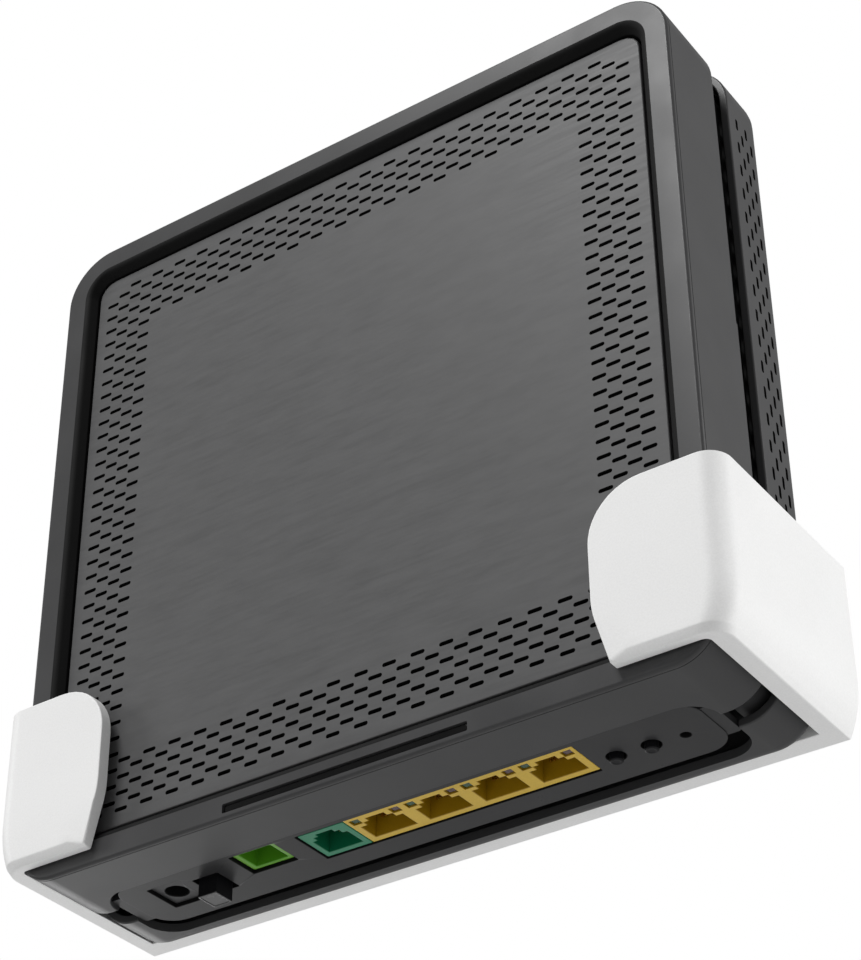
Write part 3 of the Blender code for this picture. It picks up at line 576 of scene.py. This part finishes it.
# ------------------------------------------------------------ wall cradle
def cradle_limits(z):
    """Half widths outside and inside, and the flap's front face, at height z."""
    above = max(z - RIM_Z, 0.0)
    swell_r = (CRADLE_SWELL ** 2 + CRADLE_BULGE ** 2) / (2 * CRADLE_BULGE)
    below_swell = max(CRADLE_SWELL - above, 0.0)
    outer = CRADLE_OUT - swell_r + math.sqrt(swell_r ** 2 - below_swell ** 2)
    seat_r = BOTTOM_RADIUS + 0.3 * MM
    drop = max(BOTTOM_Z + BOTTOM_RADIUS - z, 0.0)
    inner = HALF_W - BOTTOM_RADIUS + math.sqrt(seat_r ** 2 - drop ** 2)
    low = max(RIM_ROUND - above, 0.0)
    front = -CRADLE_DEPTH + RIM_ROUND - math.sqrt(RIM_ROUND ** 2 - low ** 2)
    return outer, inner, front


BACK_RUN = CRADLE_OUT - CRADLE_BULGE
SIDE_RUN = CRADLE_DEPTH - FRONT_RADIUS
CORNER_RUN = FRONT_RADIUS * math.pi / 2
FLAP_RUN = CRADLE_OUT - FRONT_RADIUS - FLAP_EDGE
CRADLE_RUN = BACK_RUN + SIDE_RUN + CORNER_RUN + FLAP_RUN


def lerp(a, b, t):
    return a + (b - a) * t


def wrap_cradle(u, z, w):
    """Fold the strip into a U. u runs round from the middle of the back plate, w from 0 on the outer face."""
    outer, inner, front = cradle_limits(z)
    lip = -CRADLE_DEPTH + FLAP_THICK
    run = abs(u)
    if run <= BACK_RUN:
        out = Vector((outer * run / BACK_RUN, 0.0))
        back = Vector((inner * run / BACK_RUN, -BACK_PLATE))
    elif run <= BACK_RUN + SIDE_RUN:
        t = (run - BACK_RUN) / SIDE_RUN
        out = Vector((outer, lerp(0.0, front + FRONT_RADIUS, t)))
        back = Vector((inner, lerp(-BACK_PLATE, lip + INNER_RADIUS, t)))
    elif run <= BACK_RUN + SIDE_RUN + CORNER_RUN:
        turn = (run - BACK_RUN - SIDE_RUN) / CORNER_RUN * math.pi / 2
        aim = Vector((math.cos(turn), -math.sin(turn)))
        out = Vector((outer - FRONT_RADIUS, front + FRONT_RADIUS)) + aim * FRONT_RADIUS
        back = Vector((inner - INNER_RADIUS, lip + INNER_RADIUS)) + aim * INNER_RADIUS
    else:
        t = (run - BACK_RUN - SIDE_RUN - CORNER_RUN) / FLAP_RUN
        out = Vector((lerp(outer - FRONT_RADIUS, FLAP_EDGE, t), front))
        back = Vector((lerp(inner - INNER_RADIUS, FLAP_EDGE, t), lip))
    place = out.lerp(back, w)
    return (math.copysign(place.x, u) if run > 0 else 0.0, place.y, z)


def thicken(flat, stations):
    """Add points where the long edges of the strip cross each station."""
    dense = []
    for (u0, z0), (u1, z1) in zip(flat, flat[1:] + flat[:1]):
        dense.append((u0, z0))
        if abs(u1 - u0) > 20 * MM:
            between = [u for u in stations if min(u0, u1) + 1 * MM < u < max(u0, u1) - 1 * MM]
            for u in sorted(between, reverse=u1 < u0):
                dense.append((u, lerp(z0, z1, (u - u0) / (u1 - u0))))
    return dense


def cradle_shell():
    bm = new_bmesh()
    end, drop = CRADLE_RUN, FLAP_TAPER
    half = [(end - drop, RIM_Z, 0.6 * MM), (end, RIM_Z + CRADLE_SWELL, 22 * MM),
            (end, TOP_Z, FLAP_TOP_RADIUS)]
    corners = half + [(-u, z, r) for u, z, r in reversed(half)]
    stations = [BACK_RUN * k / 6 for k in range(7)]
    stations += [BACK_RUN + SIDE_RUN * k / 4 for k in range(1, 5)]
    stations += [BACK_RUN + SIDE_RUN + CORNER_RUN * k / 10 for k in range(1, 11)]
    stations += [CRADLE_RUN - FLAP_RUN + FLAP_RUN * k / 6 for k in range(1, 5)]
    stations = [-u for u in reversed(stations[1:])] + stations
    rim = [RIM_ROUND * (1 - math.cos(math.radians(90 * k / 6))) for k in range(3, 7)]
    rises = rim + [4.5 * MM, 6.5 * MM, 8.5 * MM, 11 * MM, CRADLE_SWELL, 20 * MM, 28 * MM, 36 * MM, 43.4 * MM]
    levels = [RIM_Z + rise for rise in rises]
    hole_clear, edge_clear = 6 * MM, 1.2 * MM
    within = outline(corners, -edge_clear, 10)
    extra = [(u, z) for u in stations for z in levels
             if math.hypot(abs(u) - SCREW_X, z) >= hole_clear and inside((u, z), within)]
    edge = 0.3 * MM
    edge_depth = 1.7 * edge / BACK_PLATE
    low_high = []
    for k, sign in ((0, 1), (1, -1)):
        turns = [math.radians(30 * i) for i in range(4)]
        part = [(-edge * (1 - math.sin(t)), k + sign * edge_depth * (1 - math.cos(t))) for t in turns]
        low_high += part if sign > 0 else part[::-1]
    flats = [outline(corners, grow, 10) for grow, _ in low_high]
    dense = [thicken(flat, stations) for flat in flats]
    rings = [ring(bm, [wrap_cradle(u, z, w) for u, z in flat]) for flat, (_, w) in zip(dense, low_high)]
    for first, second in zip(rings, rings[1:]):
        skin(bm, first, second)
    holes = []
    for side in (-1, 1):
        steps = [(SCREW_HOLE, 0.0), (SCREW_HOLE, 0.62), (SCREW_SINK, 0.98), (SCREW_SINK, 1.0)]
        loops = []
        for radius, w in steps:
            flat = outline(circle(side * SCREW_X, 0.0, radius), 0.0, 8)
            loops.append((flat, ring(bm, [wrap_cradle(u, z, w) for u, z in flat])))
        for (_, first), (_, second) in zip(loops, loops[1:]):
            skin(bm, first, second)
        holes.append(loops)
    for w, k in ((0.0, 0), (1.0, -1)):
        inner = [(bm.verts.new(wrap_cradle(u, z, w)), (u, z)) for u, z in extra]
        fill(bm, [rings[k]] + [h[k][1] for h in holes], [dense[k]] + [h[k][0] for h in holes], inner)
    obj = to_mesh("cradle_shell", bm)
    settle(obj, WHITE, "wall_cradle", "cradle_plastic", "wall_bracket", sharp=50)


# ------------------------------------------------------------ router housing
def bay_corners(half, front_y, back_y, front_radius, back_radius):
    return rectangle((-half, half), (front_y, back_y), (front_radius, front_radius, back_radius, back_radius))


def frame_shell():
    neck_in = NECK_INSET + NECK_THICK
    recess = RIM_WIDTH + RECESS_DRAFT
    ledge_y = PANEL_BACK_Y + 0.3 * MM
    ledge_back = ledge_y + LEDGE_THICK
    corners = [(RIM_WIDTH, FRONT_Y, RIM_INNER_SOFT), (0.0, FRONT_Y, RIM_SOFT),
               (0.0, SEAM_Y, 0.05 * MM), (SEAM_DEPTH, SEAM_Y + 0.06 * MM, 0.0),
               (SEAM_DEPTH, SEAM_Y + 0.18 * MM, 0.0), (0.0, SEAM_Y + 0.24 * MM, 0.05 * MM),
               (0.0, FRAME_REAR_Y, 0.9 * MM), (NECK_INSET, FRAME_REAR_Y, 0.4 * MM),
               (NECK_INSET, NECK_END_Y, 0.3 * MM), (neck_in, NECK_END_Y, 0.3 * MM),
               (neck_in, ledge_back, 0.5 * MM), (LEDGE_INSET, ledge_back, 0.3 * MM),
               (LEDGE_INSET, ledge_y, 0.3 * MM), (recess, ledge_y, 0.2 * MM), (recess, PANEL_Y, 0.3 * MM)]
    profile = soften(corners)
    bm = new_bmesh()
    rings = [ring(bm, housing_loop(inset, y)) for inset, y in profile]
    for k, (first, second) in enumerate(zip(rings, rings[1:] + rings[:1])):
        ends = (profile[k], profile[(k + 1) % len(profile)])
        # The recess walls and the rim's inner rounding take material 1, painted shade.
        in_recess = all(inset > RIM_WIDTH - RECESS_TURN and y < ledge_y + 0.1 * MM for inset, y in ends)
        skin(bm, first, second, index=1 if in_recess else 0)
    obj = to_mesh("frame_shell", bm)

    bay = bay_corners(BAY_HALF, BAY_FRONT_Y, -10 * MM, BAY_FRONT_RADIUS, 1 * MM)
    tools = [slab("bay_tool", bay, [], BOTTOM_Z - 4 * MM, BOTTOM_Z + RIM_WIDTH + 0.1 * MM, along_z, steps=12)]
    bar_low, bar_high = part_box("status_light_bar")
    around = 0.3 * MM
    slot_x = (bar_low.x - around, bar_high.x + around)
    slot_z = (bar_low.z - around, bar_high.z + around)
    slot = rectangle(slot_x, slot_z, (0.35 * MM,) * 4)
    tools.append(slab("slot_tool", slot, [], FRONT_Y - 2 * MM, PANEL_BACK_Y + 3 * MM, along_y))
    tools.append(block("pocket_tool", (slot_x[0] - 2 * MM, slot_x[1] + 2 * MM), POCKET_Y,
                       (slot_z[0] - 0.15 * MM, POCKET_TOP_Z)))
    tools.append(step_tool())
    carve(obj, tools)

    post = rod(BOSS_RADIUS, (ledge_back - 1 * MM, NECK_END_Y - 0.05 * MM))
    bore = rod(SCREW_BORE, POST_BORE_Y)
    carve(obj, [spindle("post", place, post) for place in CASE_SCREWS], "UNION")
    carve(obj, [spindle("post_hole", place, bore, sides=BORE_SIDES) for place in CASE_SCREWS])
    soften_bay_edge(obj)
    settle(obj, [CHARCOAL, SHADE], "router", "housing_plastic", "housing_frame")


def step_tool():
    """Ring that sets the upper part of the frame's rear edge back."""
    step_y = FRAME_REAR_Y - STEP_DEPTH
    behind = FRAME_REAR_Y + 1 * MM
    bm = new_bmesh()
    loops = [(-2 * MM, step_y), (-2 * MM, behind), (NECK_INSET, behind), (NECK_INSET, step_y)]
    rings = [ring(bm, housing_loop(inset, y)) for inset, y in loops]
    for first, second in zip(rings, rings[1:] + rings[:1]):
        skin(bm, first, second)
    obj = to_mesh("step_tool", bm)
    below = block("step_limit", (-0.15, 0.15), (-0.05, 0.0), (-0.1, STEP_Z))
    carve(obj, [below])
    return obj


def soften_bay_edge(obj):
    """Round the lip where the port bay opens in the flat underside."""
    bm = bmesh.new()
    bm.from_mesh(obj.data)
    lip = []
    for edge in bm.edges:
        level = all(abs(vert.co.z - BOTTOM_Z) < 0.002 * MM and vert.co.y > BAY_FRONT_Y - 0.1 * MM
                    for vert in edge.verts)
        if level and len(edge.link_faces) == 2 and edge.calc_face_angle(0.0) > math.radians(60):
            lip.append(edge)
    bmesh.ops.bevel(bm, geom=lip, offset=0.25 * MM, segments=3, profile=0.5, affect="EDGES")
    bm.to_mesh(obj.data)
    bm.free()


def front_grille():
    columns, rows = DASH_COLUMNS - 1, DASH_ROWS - 1
    holes = []
    for row in range(DASH_ROWS):
        for column in range(DASH_COLUMNS):
            from_side, from_end = min(column, columns - column), min(row, rows - row)
            in_band = from_side < BAND_COLUMNS or from_end < BAND_ROWS
            if (row + column) % 2 == 0 and in_band and from_side + from_end >= 2:
                x = (column - columns / 2) * DASH_PITCH[0]
                z = FACE_MID_Z + (rows / 2 - row) * DASH_PITCH[1]
                holes.append((stadium(x, z, *DASH_SIZE), 0.0, None))
    radii = (BOTTOM_RADIUS - PANEL_INSET,) * 2 + (TOP_RADIUS - PANEL_INSET,) * 2
    outer = rectangle((-HALF_W + PANEL_INSET, HALF_W - PANEL_INSET),
                      (BOTTOM_Z + PANEL_INSET, CROWN_Z - PANEL_INSET), radii)
    # The dashes' walls take painted shade.
    obj = slab("front_grille", outer, holes, PANEL_Y, PANEL_BACK_Y, along_y, (0.35 * MM, 0.0), hole_index=1)
    settle(obj, [PANEL, SHADE], "router", "panel_plastic", "front_panel")


def vents(limits, lines, start):
    """Staggered dashes in lines; every other line is moved half a pitch."""
    holes = []
    for k, y in enumerate(lines):
        place = start - (VENT_PITCH / 2 if k % 2 else 0.0)
        while place > limits[0] + VENT_SIZE[0]:
            if place < limits[1] - VENT_SIZE[0] / 2:
                holes.append(stadium(place - VENT_SIZE[0] / 2, y, *VENT_SIZE))
            place -= VENT_PITCH
    return holes


def cover_shell():
    inner = COVER_INSET + COVER_WALL
    floor = BACK_Y - COVER_WALL
    line = [(inner + 9 * MM, floor, 0), (inner, floor, 3 * MM), (inner, COVER_FRONT_Y, 0.4 * MM),
            (COVER_INSET, COVER_FRONT_Y, 0.5 * MM), (COVER_INSET, BACK_Y, COVER_ROUND),
            (COVER_INSET + 12 * MM, BACK_Y, 0)]
    steps = 6
    profile = soften(line, closed=False, steps=steps)
    bm = new_bmesh()
    rings = [ring(bm, housing_loop(inset, y)) for inset, y in profile]
    inner_wall, outer_wall = 1 + steps, 1 + 3 * (steps + 1) - 1
    corner = CORNER_STEPS + 1
    straight = {"right": 2 * corner - 1, "top": 3 * corner - 1, "left": 4 * corner - 1}
    for k, (first, second) in enumerate(zip(rings, rings[1:])):
        skip = tuple(straight.values()) if k in (inner_wall, outer_wall) else ()
        skin(bm, first, second, skip)
    bm.faces.new(rings[0])
    bm.faces.new(rings[-1])
    for side, i in straight.items():
        loops = []
        for k in (inner_wall, outer_wall):
            j = (i + 1) % len(rings[k])
            loops.append([rings[k][i], rings[k][j], rings[k + 1][j], rings[k + 1][i]])
        perforate(bm, loops, side)
    obj = to_mesh("cover_shell", bm)

    notch = bay_corners(NOTCH_HALF, -60 * MM, COVER_STRIP_Y, 1 * MM, 7.5 * MM)
    carve(obj, [slab("notch_tool", notch, [], BOTTOM_Z - 5 * MM, BOTTOM_Z + 9 * MM, along_z, steps=12)])

    root = floor + 1 * MM
    pillar = rod(PILLAR_RADIUS, (NECK_END_Y + 0.4 * MM, root))
    bore = rod(SCREW_BORE, PILLAR_BORE_Y)
    sink = rod(3.3 * MM, (SINK_FLOOR_Y, BACK_Y - 0.3 * MM)) + rod(3.6 * MM, (BACK_Y, 0.0))
    boss = rod(BOSS_RADIUS, (BOSS_FRONT_Y, root))
    boss_bore = rod(SCREW_BORE, BOSS_BORE_Y)
    pillars, bores = [], []
    for place in CASE_SCREWS:
        pillars.append(spindle("pillar", place, pillar))
        bores.append(spindle("bore", place, bore, sides=BORE_SIDES))
        bores.append(spindle("sink", place, sink))
    for place in BOARD_BOSSES:
        pillars.append(spindle("boss", place, boss))
        bores.append(spindle("boss_bore", place, boss_bore, sides=BORE_SIDES))
    carve(obj, pillars, "UNION")
    bores.append(label_tool())
    carve(obj, bores)
    settle(obj, [CHARCOAL, SHADE], "router", "housing_plastic", "rear_cover")


def perforate(bm, loops, side):
    """Fill a wall's inner and outer rectangle, with dashes right through both."""
    def flat(vert):
        return (vert.co.x if side == "top" else vert.co.z, vert.co.y)

    spread = [flat(vert) for vert in loops[1]]
    limits = (min(u for u, _ in spread), max(u for u, _ in spread))
    if side == "top":
        count = int((limits[1] - limits[0]) / VENT_PITCH)
        start = count * VENT_PITCH / 2 - VENT_PITCH / 4 + VENT_SIZE[0] / 2
    else:
        start, limits = VENT_TOP, (BOTTOM_Z + 22 * MM, limits[1])
    holes = [outline(corners, 0.0, 3) for corners in vents(limits, VENT_Y, start)]
    walls = []
    for loop in loops:
        level = loop[0].co.z if side == "top" else loop[0].co.x
        rims = []
        for hole in holes:
            if side == "top":
                rims.append(ring(bm, [(u, v, level) for u, v in hole]))
            else:
                rims.append(ring(bm, [(level, v, u) for u, v in hole]))
        fill(bm, [loop] + rims, [[flat(vert) for vert in loop]] + holes)
        walls.append(rims)
    # The vents' walls take painted shade.
    for first, second in zip(*walls):
        skin(bm, first, second, index=1)


def label_tool():
    low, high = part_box("rating_label")
    around = 0.4 * MM
    seat = rectangle((low.x - around, high.x + around), (low.z - around, high.z + around), (2.4 * MM,) * 4)
    return slab("label_tool", seat, [], BACK_Y - 0.5 * MM, 0.0, along_y, steps=8)


def back_label():
    low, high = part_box("rating_label")
    sheet = rectangle((low.x, high.x), (low.z, high.z), (2 * MM,) * 4)
    obj = slab("back_label", sheet, [], low.y, high.y, along_y, (0.0, 0.06 * MM), steps=8)
    settle(obj, PAPER, "router", "label_paper", "rating_label")


# ------------------------------------------------------------ underside
def grown(box, clear, radius=0.25 * MM):
    """Rectangle round a CAD node's plan, larger than it by clear on every side."""
    low, high = box
    return rectangle((low.x - clear, high.x + clear), (low.y - clear, high.y + clear), (radius,) * 4)


def port_fascia():
    block_low, block_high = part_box("ethernet_jack_block")
    phone_low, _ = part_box("phone_jack")
    sockets_x = (phone_low.x - CLEAR, block_high.x + CLEAR)
    sockets_y = (block_low.y - CLEAR, block_high.y + CLEAR)
    edge = 0.2 * MM
    holes = [(rectangle(sockets_x, sockets_y, (0.2 * MM,) * 4), edge, None)]
    for node, clear in (("fiber_adapter", CLEAR), ("dc_jack", CLEAR), ("power_button", 1.0 * MM)):
        holes.append((grown(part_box(node), clear), edge, None))
    for node, radius in (("wps_button", KEY_HOLE), ("wifi_button", KEY_HOLE), ("reset_plunger", PIN_HOLE)):
        holes.append((circle(*middle(*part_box(node)), radius), edge, None))
    outer = bay_corners(PLATE_HALF, PLATE_FRONT_Y, PLATE_BACK_Y, PLATE_FRONT_RADIUS, PLATE_BACK_RADIUS)
    back_z = PORT_Z + PORT_PLATE
    # The walls of the holes round the sockets and keys take painted shade.
    obj = slab("port_fascia", outer, holes, PORT_Z, back_z, along_z, (0.15 * MM, 0.0), steps=8, hole_index=1)

    half, front = PLATE_HALF - SKIRT_THICK, PLATE_FRONT_Y + SKIRT_START
    hollow = rectangle((-half, half), (front, PLATE_BACK_Y - SKIRT_THICK), (0, 0, 5.4 * MM, 5.4 * MM))
    rim = rectangle((-PLATE_HALF + CLEAR, PLATE_HALF - CLEAR), (front, PLATE_BACK_Y - 0.05 * MM),
                    (0, 0, 7 * MM, 7 * MM))
    tools = [to_mesh("skirt", wall_between(rim, hollow, back_z - 0.6 * MM, plate_high.z))]
    lug_y = (PLATE_FRONT_Y + LUG_MARGIN, PLATE_BACK_Y - LUG_MARGIN)
    lug_z = (PORT_Z + BRIDGE_DEPTH, back_z - 0.1 * MM)
    for side in (-1, 1):
        reach = sorted((side * (PLATE_HALF - 2 * MM), side * (BAY_HALF - 0.3 * MM)))
        tools.append(block("lug", reach, lug_y, lug_z, 0.8 * MM))
    carve(obj, tools, "UNION")
    settle(obj, [FASCIA, SHADE], "router", "housing_plastic", "port_panel")


def wall_between(outer, inner, low, high):
    """A U-shaped wall, open at the front, between two rectangles that share their front line."""
    bm = new_bmesh()
    line = outline(outer, 0.0, 8)
    back = outline(inner, 0.0, 8)
    loop = line[1:] + line[:1] + [back[0]] + back[:0:-1]
    rings = [ring(bm, [(x, y, z) for x, y in loop]) for z in (low, high)]
    skin(bm, *rings)
    for one in rings:
        fill(bm, [one], [loop])
    return bm


def mouth_corners(x, back, widths):
    """Modular socket mouth: full width at the back, narrower in steps to the front."""
    right, left = [], []
    y = back
    for width, depth in widths:
        right += [(x + width / 2, y, 0.0), (x + width / 2, y - depth, 0.0)]
        left += [(x - width / 2, y, 0.0), (x - width / 2, y - depth, 0.0)]
        y -= depth
    return left + right[::-1]


def socket_block(name, node, holes, material, painted_shade_material, slot):
    """A socket body: rounded block with blind holes in its underside; the holes' walls take a darker copy of
    the colour, painted shade.
    """
    low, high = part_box(node)
    soft = 0.15 * MM
    obj = slab(name, grown((low, high), 0.0, soft), holes, low.z, high.z, along_z, (soft, 0.0), hole_index=1)
    settle(obj, [material, painted_shade_material], "router", slot, node)


LAMP_OFFSET = 5.6 * MM
LAMP_HALF = 1.1 * MM
LAMP_CLEAR = 0.15 * MM
LAMP_HOLE_Y = (-36.1 * MM, -33.8 * MM)
MOUTH_SOFT = 0.2 * MM
MOUTH_DEPTH_Z = -10.5 * MM
ABOVE_Z = 10 * MM                   # above every socket body


def ethernet_block():
    holes = []
    guides = [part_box("port_light_guide_%d" % (i + 1)) for i in range(4)]
    _, block_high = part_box("ethernet_jack_block")
    widths = ((11.7 * MM, 5.9 * MM), (8.0 * MM, 1.6 * MM), (5.0 * MM, 1.5 * MM))
    for low, high in guides:
        x, _ = middle(low, high)
        holes.append((mouth_corners(x, block_high.y - 1.9 * MM, widths), MOUTH_SOFT, MOUTH_DEPTH_Z))
        for side in (-1, 1):
            centre = x + side * LAMP_OFFSET
            window = (centre - LAMP_HALF - LAMP_CLEAR, centre + LAMP_HALF + LAMP_CLEAR)
            holes.append((rectangle(window, LAMP_HOLE_Y), 0.1 * MM, None))
    socket_block("ethernet_block", "ethernet_jack_block", holes, YELLOW, YELLOW_SHADED, "yellow_plastic")
    for i, (low, high) in enumerate(guides):
        light_guide(i + 1, low, high)


def light_guide(number, low, high):
    """Two rods and the bridge that joins them; the left rod is green and the right one amber."""
    bm = new_bmesh()
    x, _ = middle(low, high)
    rod_y = (low.y, high.y)
    bridge_z = high.z - 1.1 * MM
    plate(bm, rectangle((low.x, high.x), rod_y), [], bridge_z, high.z, along_z, (0.1 * MM, 0.0))
    for side in (-1, 1):
        centre = x + side * LAMP_OFFSET
        before = len(bm.faces)
        rod = rectangle((centre - LAMP_HALF, centre + LAMP_HALF), rod_y, (0.2 * MM,) * 4)
        plate(bm, rod, [], low.z + 0.35 * MM, bridge_z - 0.02 * MM, along_z, (0.2 * MM, 0.0))
        bm.faces.ensure_lookup_table()
        for face in bm.faces[before:]:
            face.material_index = 1 if side < 0 else 2
    settle(to_mesh("port_lamps_%d" % number, bm), [CLEAR_GUIDE, GREEN_LAMP, AMBER_LAMP], "router",
           "clear_plastic", "port_light_guide_%d" % number)


def sockets():
    ethernet_block()
    low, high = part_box("phone_jack")
    widths = ((9.8 * MM, 6.4 * MM), (7.2 * MM, 1.5 * MM), (4.6 * MM, 1.2 * MM))
    mouth = mouth_corners(middle(low, high)[0], high.y - 1.7 * MM, widths)
    socket_block("phone_block", "phone_jack", [(mouth, MOUTH_SOFT, MOUTH_DEPTH_Z)], TEAL, TEAL_SHADED,
                 "teal_plastic")
    fiber_block()
    dc_block()


def fiber_block():
    low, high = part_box("fiber_adapter")
    x, y = middle(low, high)
    half_x, half_y, end = 4.7 * MM, 3.6 * MM, -12 * MM
    mouth = rectangle((x - half_x, x + half_x), (y - half_y, y + half_y), (0.3 * MM,) * 4)
    # The mouth's walls take a darker lime, painted shade.
    obj = slab("fiber_block", grown((low, high), 0.0, 0.3 * MM), [(mouth, 0.35 * MM, end)],
               low.z, high.z, along_z, (0.3 * MM, 0.0), hole_index=1)
    carve(obj, [spindle("passage", (x, y), rod(1.9 * MM, (end - 2 * MM, ABOVE_Z)), along_z)])
    settle(obj, [LIME, LIME_SHADED], "router", "lime_plastic", "fiber_adapter")


def dc_block():
    low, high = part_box("dc_jack")
    x, y = middle(low, high)
    bore = circle(x, y, 2.9 * MM)
    # The bore's wall takes painted shade.
    obj = slab("dc_block", grown((low, high), 0.0, 0.3 * MM), [(bore, 0.25 * MM, -14 * MM)],
               low.z, high.z, along_z, (0.2 * MM, 0.0), steps=10, hole_index=1)
    carve(obj, [spindle("pin_seat", (x, y), rod(1.3 * MM, (-16 * MM, ABOVE_Z)), along_z)])
    settle(obj, [FASCIA, SHADE], "router", "black_plastic", "dc_jack")


def power_cap():
    low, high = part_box("power_button")
    x, y = middle(low, high)
    cap_top, half_stem = -19.9 * MM, 1.55 * MM
    cap = grown((low, high), 0.0, 0.35 * MM)
    dish = grown((low, high), -0.5 * MM, 0.2 * MM)
    obj = slab("power_cap", cap, [(dish, 0.12 * MM, low.z + 0.15 * MM)], low.z, cap_top, along_z,
               (0.25 * MM, 0.1 * MM))
    stem = block("stem", (x - half_stem, x + half_stem), (y - half_stem, y + half_stem),
                 (cap_top - 0.5 * MM, high.z), 0.2 * MM)
    carve(obj, [stem], "UNION")
    for face in obj.data.polygons:
        face.material_index = 1 if face.normal.z < -0.3 and face.center.z < low.z + 0.5 * MM else 0
    settle(obj, [KEY_BLACK, KEY_FACE], "power_button", "black_plastic", "power_button")


def key_cap(name):
    low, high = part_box(name + "_button")
    x, y = middle(low, high)
    shaft, flange, stem = 1.65 * MM, 2.8 * MM, 1.1 * MM
    flange_z = PORT_Z + PORT_PLATE + 0.4 * MM
    flange_top = flange_z + 0.7 * MM
    line = [(0.6 * MM, low.z + 0.12 * MM, 0), (1.0 * MM, low.z, 0.2 * MM), (shaft, low.z, 0.4 * MM),
            (shaft, flange_z, 0.15 * MM), (flange, flange_z, 0.1 * MM), (flange, flange_top, 0.1 * MM),
            (stem, flange_top, 0.1 * MM), (stem, high.z, 0)]
    obj = spindle(name + "_cap", (x, y), soften(line, closed=False), along_z, sides=40)
    settle(obj, KEY_BLACK, name + "_button", "black_plastic", name + "_button")


def status_lens():
    low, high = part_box("status_light_bar")
    bar = rectangle((low.x, high.x), (low.z, high.z), (0.3 * MM,) * 4)
    obj = slab("status_lens", bar, [], low.y, high.y, along_y, (0.2 * MM, 0.0))
    settle(obj, SMOKED, "router", "smoked_lens", "status_light_bar")


# ------------------------------------------------------------ what stays CAD
INNER_LOOKS = (
    (BOARD, ("main_board", "status_led_board", "antenna_left", "antenna_right", "antenna_top_")),
    (CHIP_BLACK, ("processor_chip", "memory_chip", "ethernet_transformer", "power_inductor",
                  "power_capacitor_")),
    (BLACK, ("power_switch", "wps_switch", "wifi_switch", "reset_switch", "antenna_lead_")),
    (NYLON, ("reset_plunger",)),
    (CLEAR_GUIDE, ("status_light_guide",)),
    (GOLD, ("ethernet_contacts_", "phone_contacts", "dc_pin")),
    (TIN, ("wifi_shield_can_", "optical_module")),
    (STEEL, ("board_screw_", "case_screw_")),
    (ALUMINIUM, ("heat_sink",)),
    (CERAMIC, ("fiber_ferrule",)),
    (PAD, ("thermal_pad",)),
)


def dress_inner_nodes():
    for material, starts in INNER_LOOKS:
        for name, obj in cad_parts.items():
            if name.startswith(starts):
                obj.data.materials.clear()
                obj.data.materials.append(material)


# ------------------------------------------------------------ studio
def background(tree, strength):
    node = tree.nodes.new("ShaderNodeBackground")
    node.inputs["Color"].default_value = (1, 1, 1, 1)
    node.inputs["Strength"].default_value = strength
    return node


def studio():
    scene = bpy.context.scene
    scene.view_settings.view_transform = "Standard"
    world = bpy.data.worlds.new("studio")
    world.use_nodes = True
    tree = world.node_tree
    tree.nodes.clear()
    output = tree.nodes.new("ShaderNodeOutputWorld")
    mix = tree.nodes.new("ShaderNodeMixShader")
    path = tree.nodes.new("ShaderNodeLightPath")
    soft, seen = background(tree, 0.33), background(tree, 1.0)
    tree.links.new(path.outputs["Is Camera Ray"], mix.inputs[0])
    tree.links.new(soft.outputs[0], mix.inputs[1])
    tree.links.new(seen.outputs[0], mix.inputs[2])
    tree.links.new(mix.outputs[0], output.inputs[0])
    scene.world = world

    aim = Vector((0.0, -0.03, 0.06))
    lights = (("key", (-0.3, -1.45, 1.8), 0.9, 35.0), ("left", (-1.7, -0.9, 0.6), 0.8, 9.0),
              ("side", (1.7, 0.75, 0.5), 1.2, 27.0), ("low_left", (-1.9, 1.35, -1.0), 0.8, 3.4),
              ("gleam", (-1.9, 1.7, -0.35), 0.8, 4.0))
    for name, place, size, power in lights:
        data = bpy.data.lights.new(name, "AREA")
        data.shape = "DISK"
        data.size = size
        data.energy = power
        light = bpy.data.objects.new(name, data)
        light.location = place
        light.rotation_mode = "QUATERNION"
        light.rotation_quaternion = (aim - light.location).to_track_quat("-Z", "Y")
        light.visible_camera = False
        scene.collection.objects.link(light)

    bm = bmesh.new()
    floor_radius, floor_z = 9.0, -1.2
    bmesh.ops.create_circle(bm, cap_ends=True, radius=floor_radius, segments=96)
    mesh = bpy.data.meshes.new("floor")
    bm.to_mesh(mesh)
    bm.free()
    floor = bpy.data.objects.new("floor", mesh)
    floor.location = (0, 0, floor_z)
    n = Nodes("floor_pale")
    cloud = n.noise(3.0, 3.0)
    n.finish(Base_Color=n.mix(n.ramp(cloud, 0.0, 1.0), (0.78, 0.78, 0.78, 1), (0.82, 0.82, 0.82, 1)),
             Roughness=0.9)
    mesh.materials.append(n.material)
    scene.collection.objects.link(floor)


def camera():
    data = bpy.data.cameras.new("camera")
    data.lens = 94.4
    data.shift_x = 0.0397
    data.shift_y = 0.0079
    data.clip_start = 0.01
    obj = bpy.data.objects.new("camera", data)
    azimuth, elevation = math.radians(35), math.radians(-35)     # below the object and to its right
    back = Vector((math.sin(azimuth) * math.cos(elevation), -math.cos(azimuth) * math.cos(elevation),
                   math.sin(elevation)))
    obj.location = (0.29688, -0.45887, -0.29634)
    obj.rotation_mode = "QUATERNION"
    obj.rotation_quaternion = (-back).to_track_quat("-Z", "Y")
    bpy.context.scene.collection.objects.link(obj)
    bpy.context.scene.camera = obj


camera()
studio()
cradle_shell()
frame_shell()
front_grille()
cover_shell()
back_label()
port_fascia()
sockets()
power_cap()
key_cap("wps")
key_cap("wifi")
status_lens()
dress_inner_nodes()
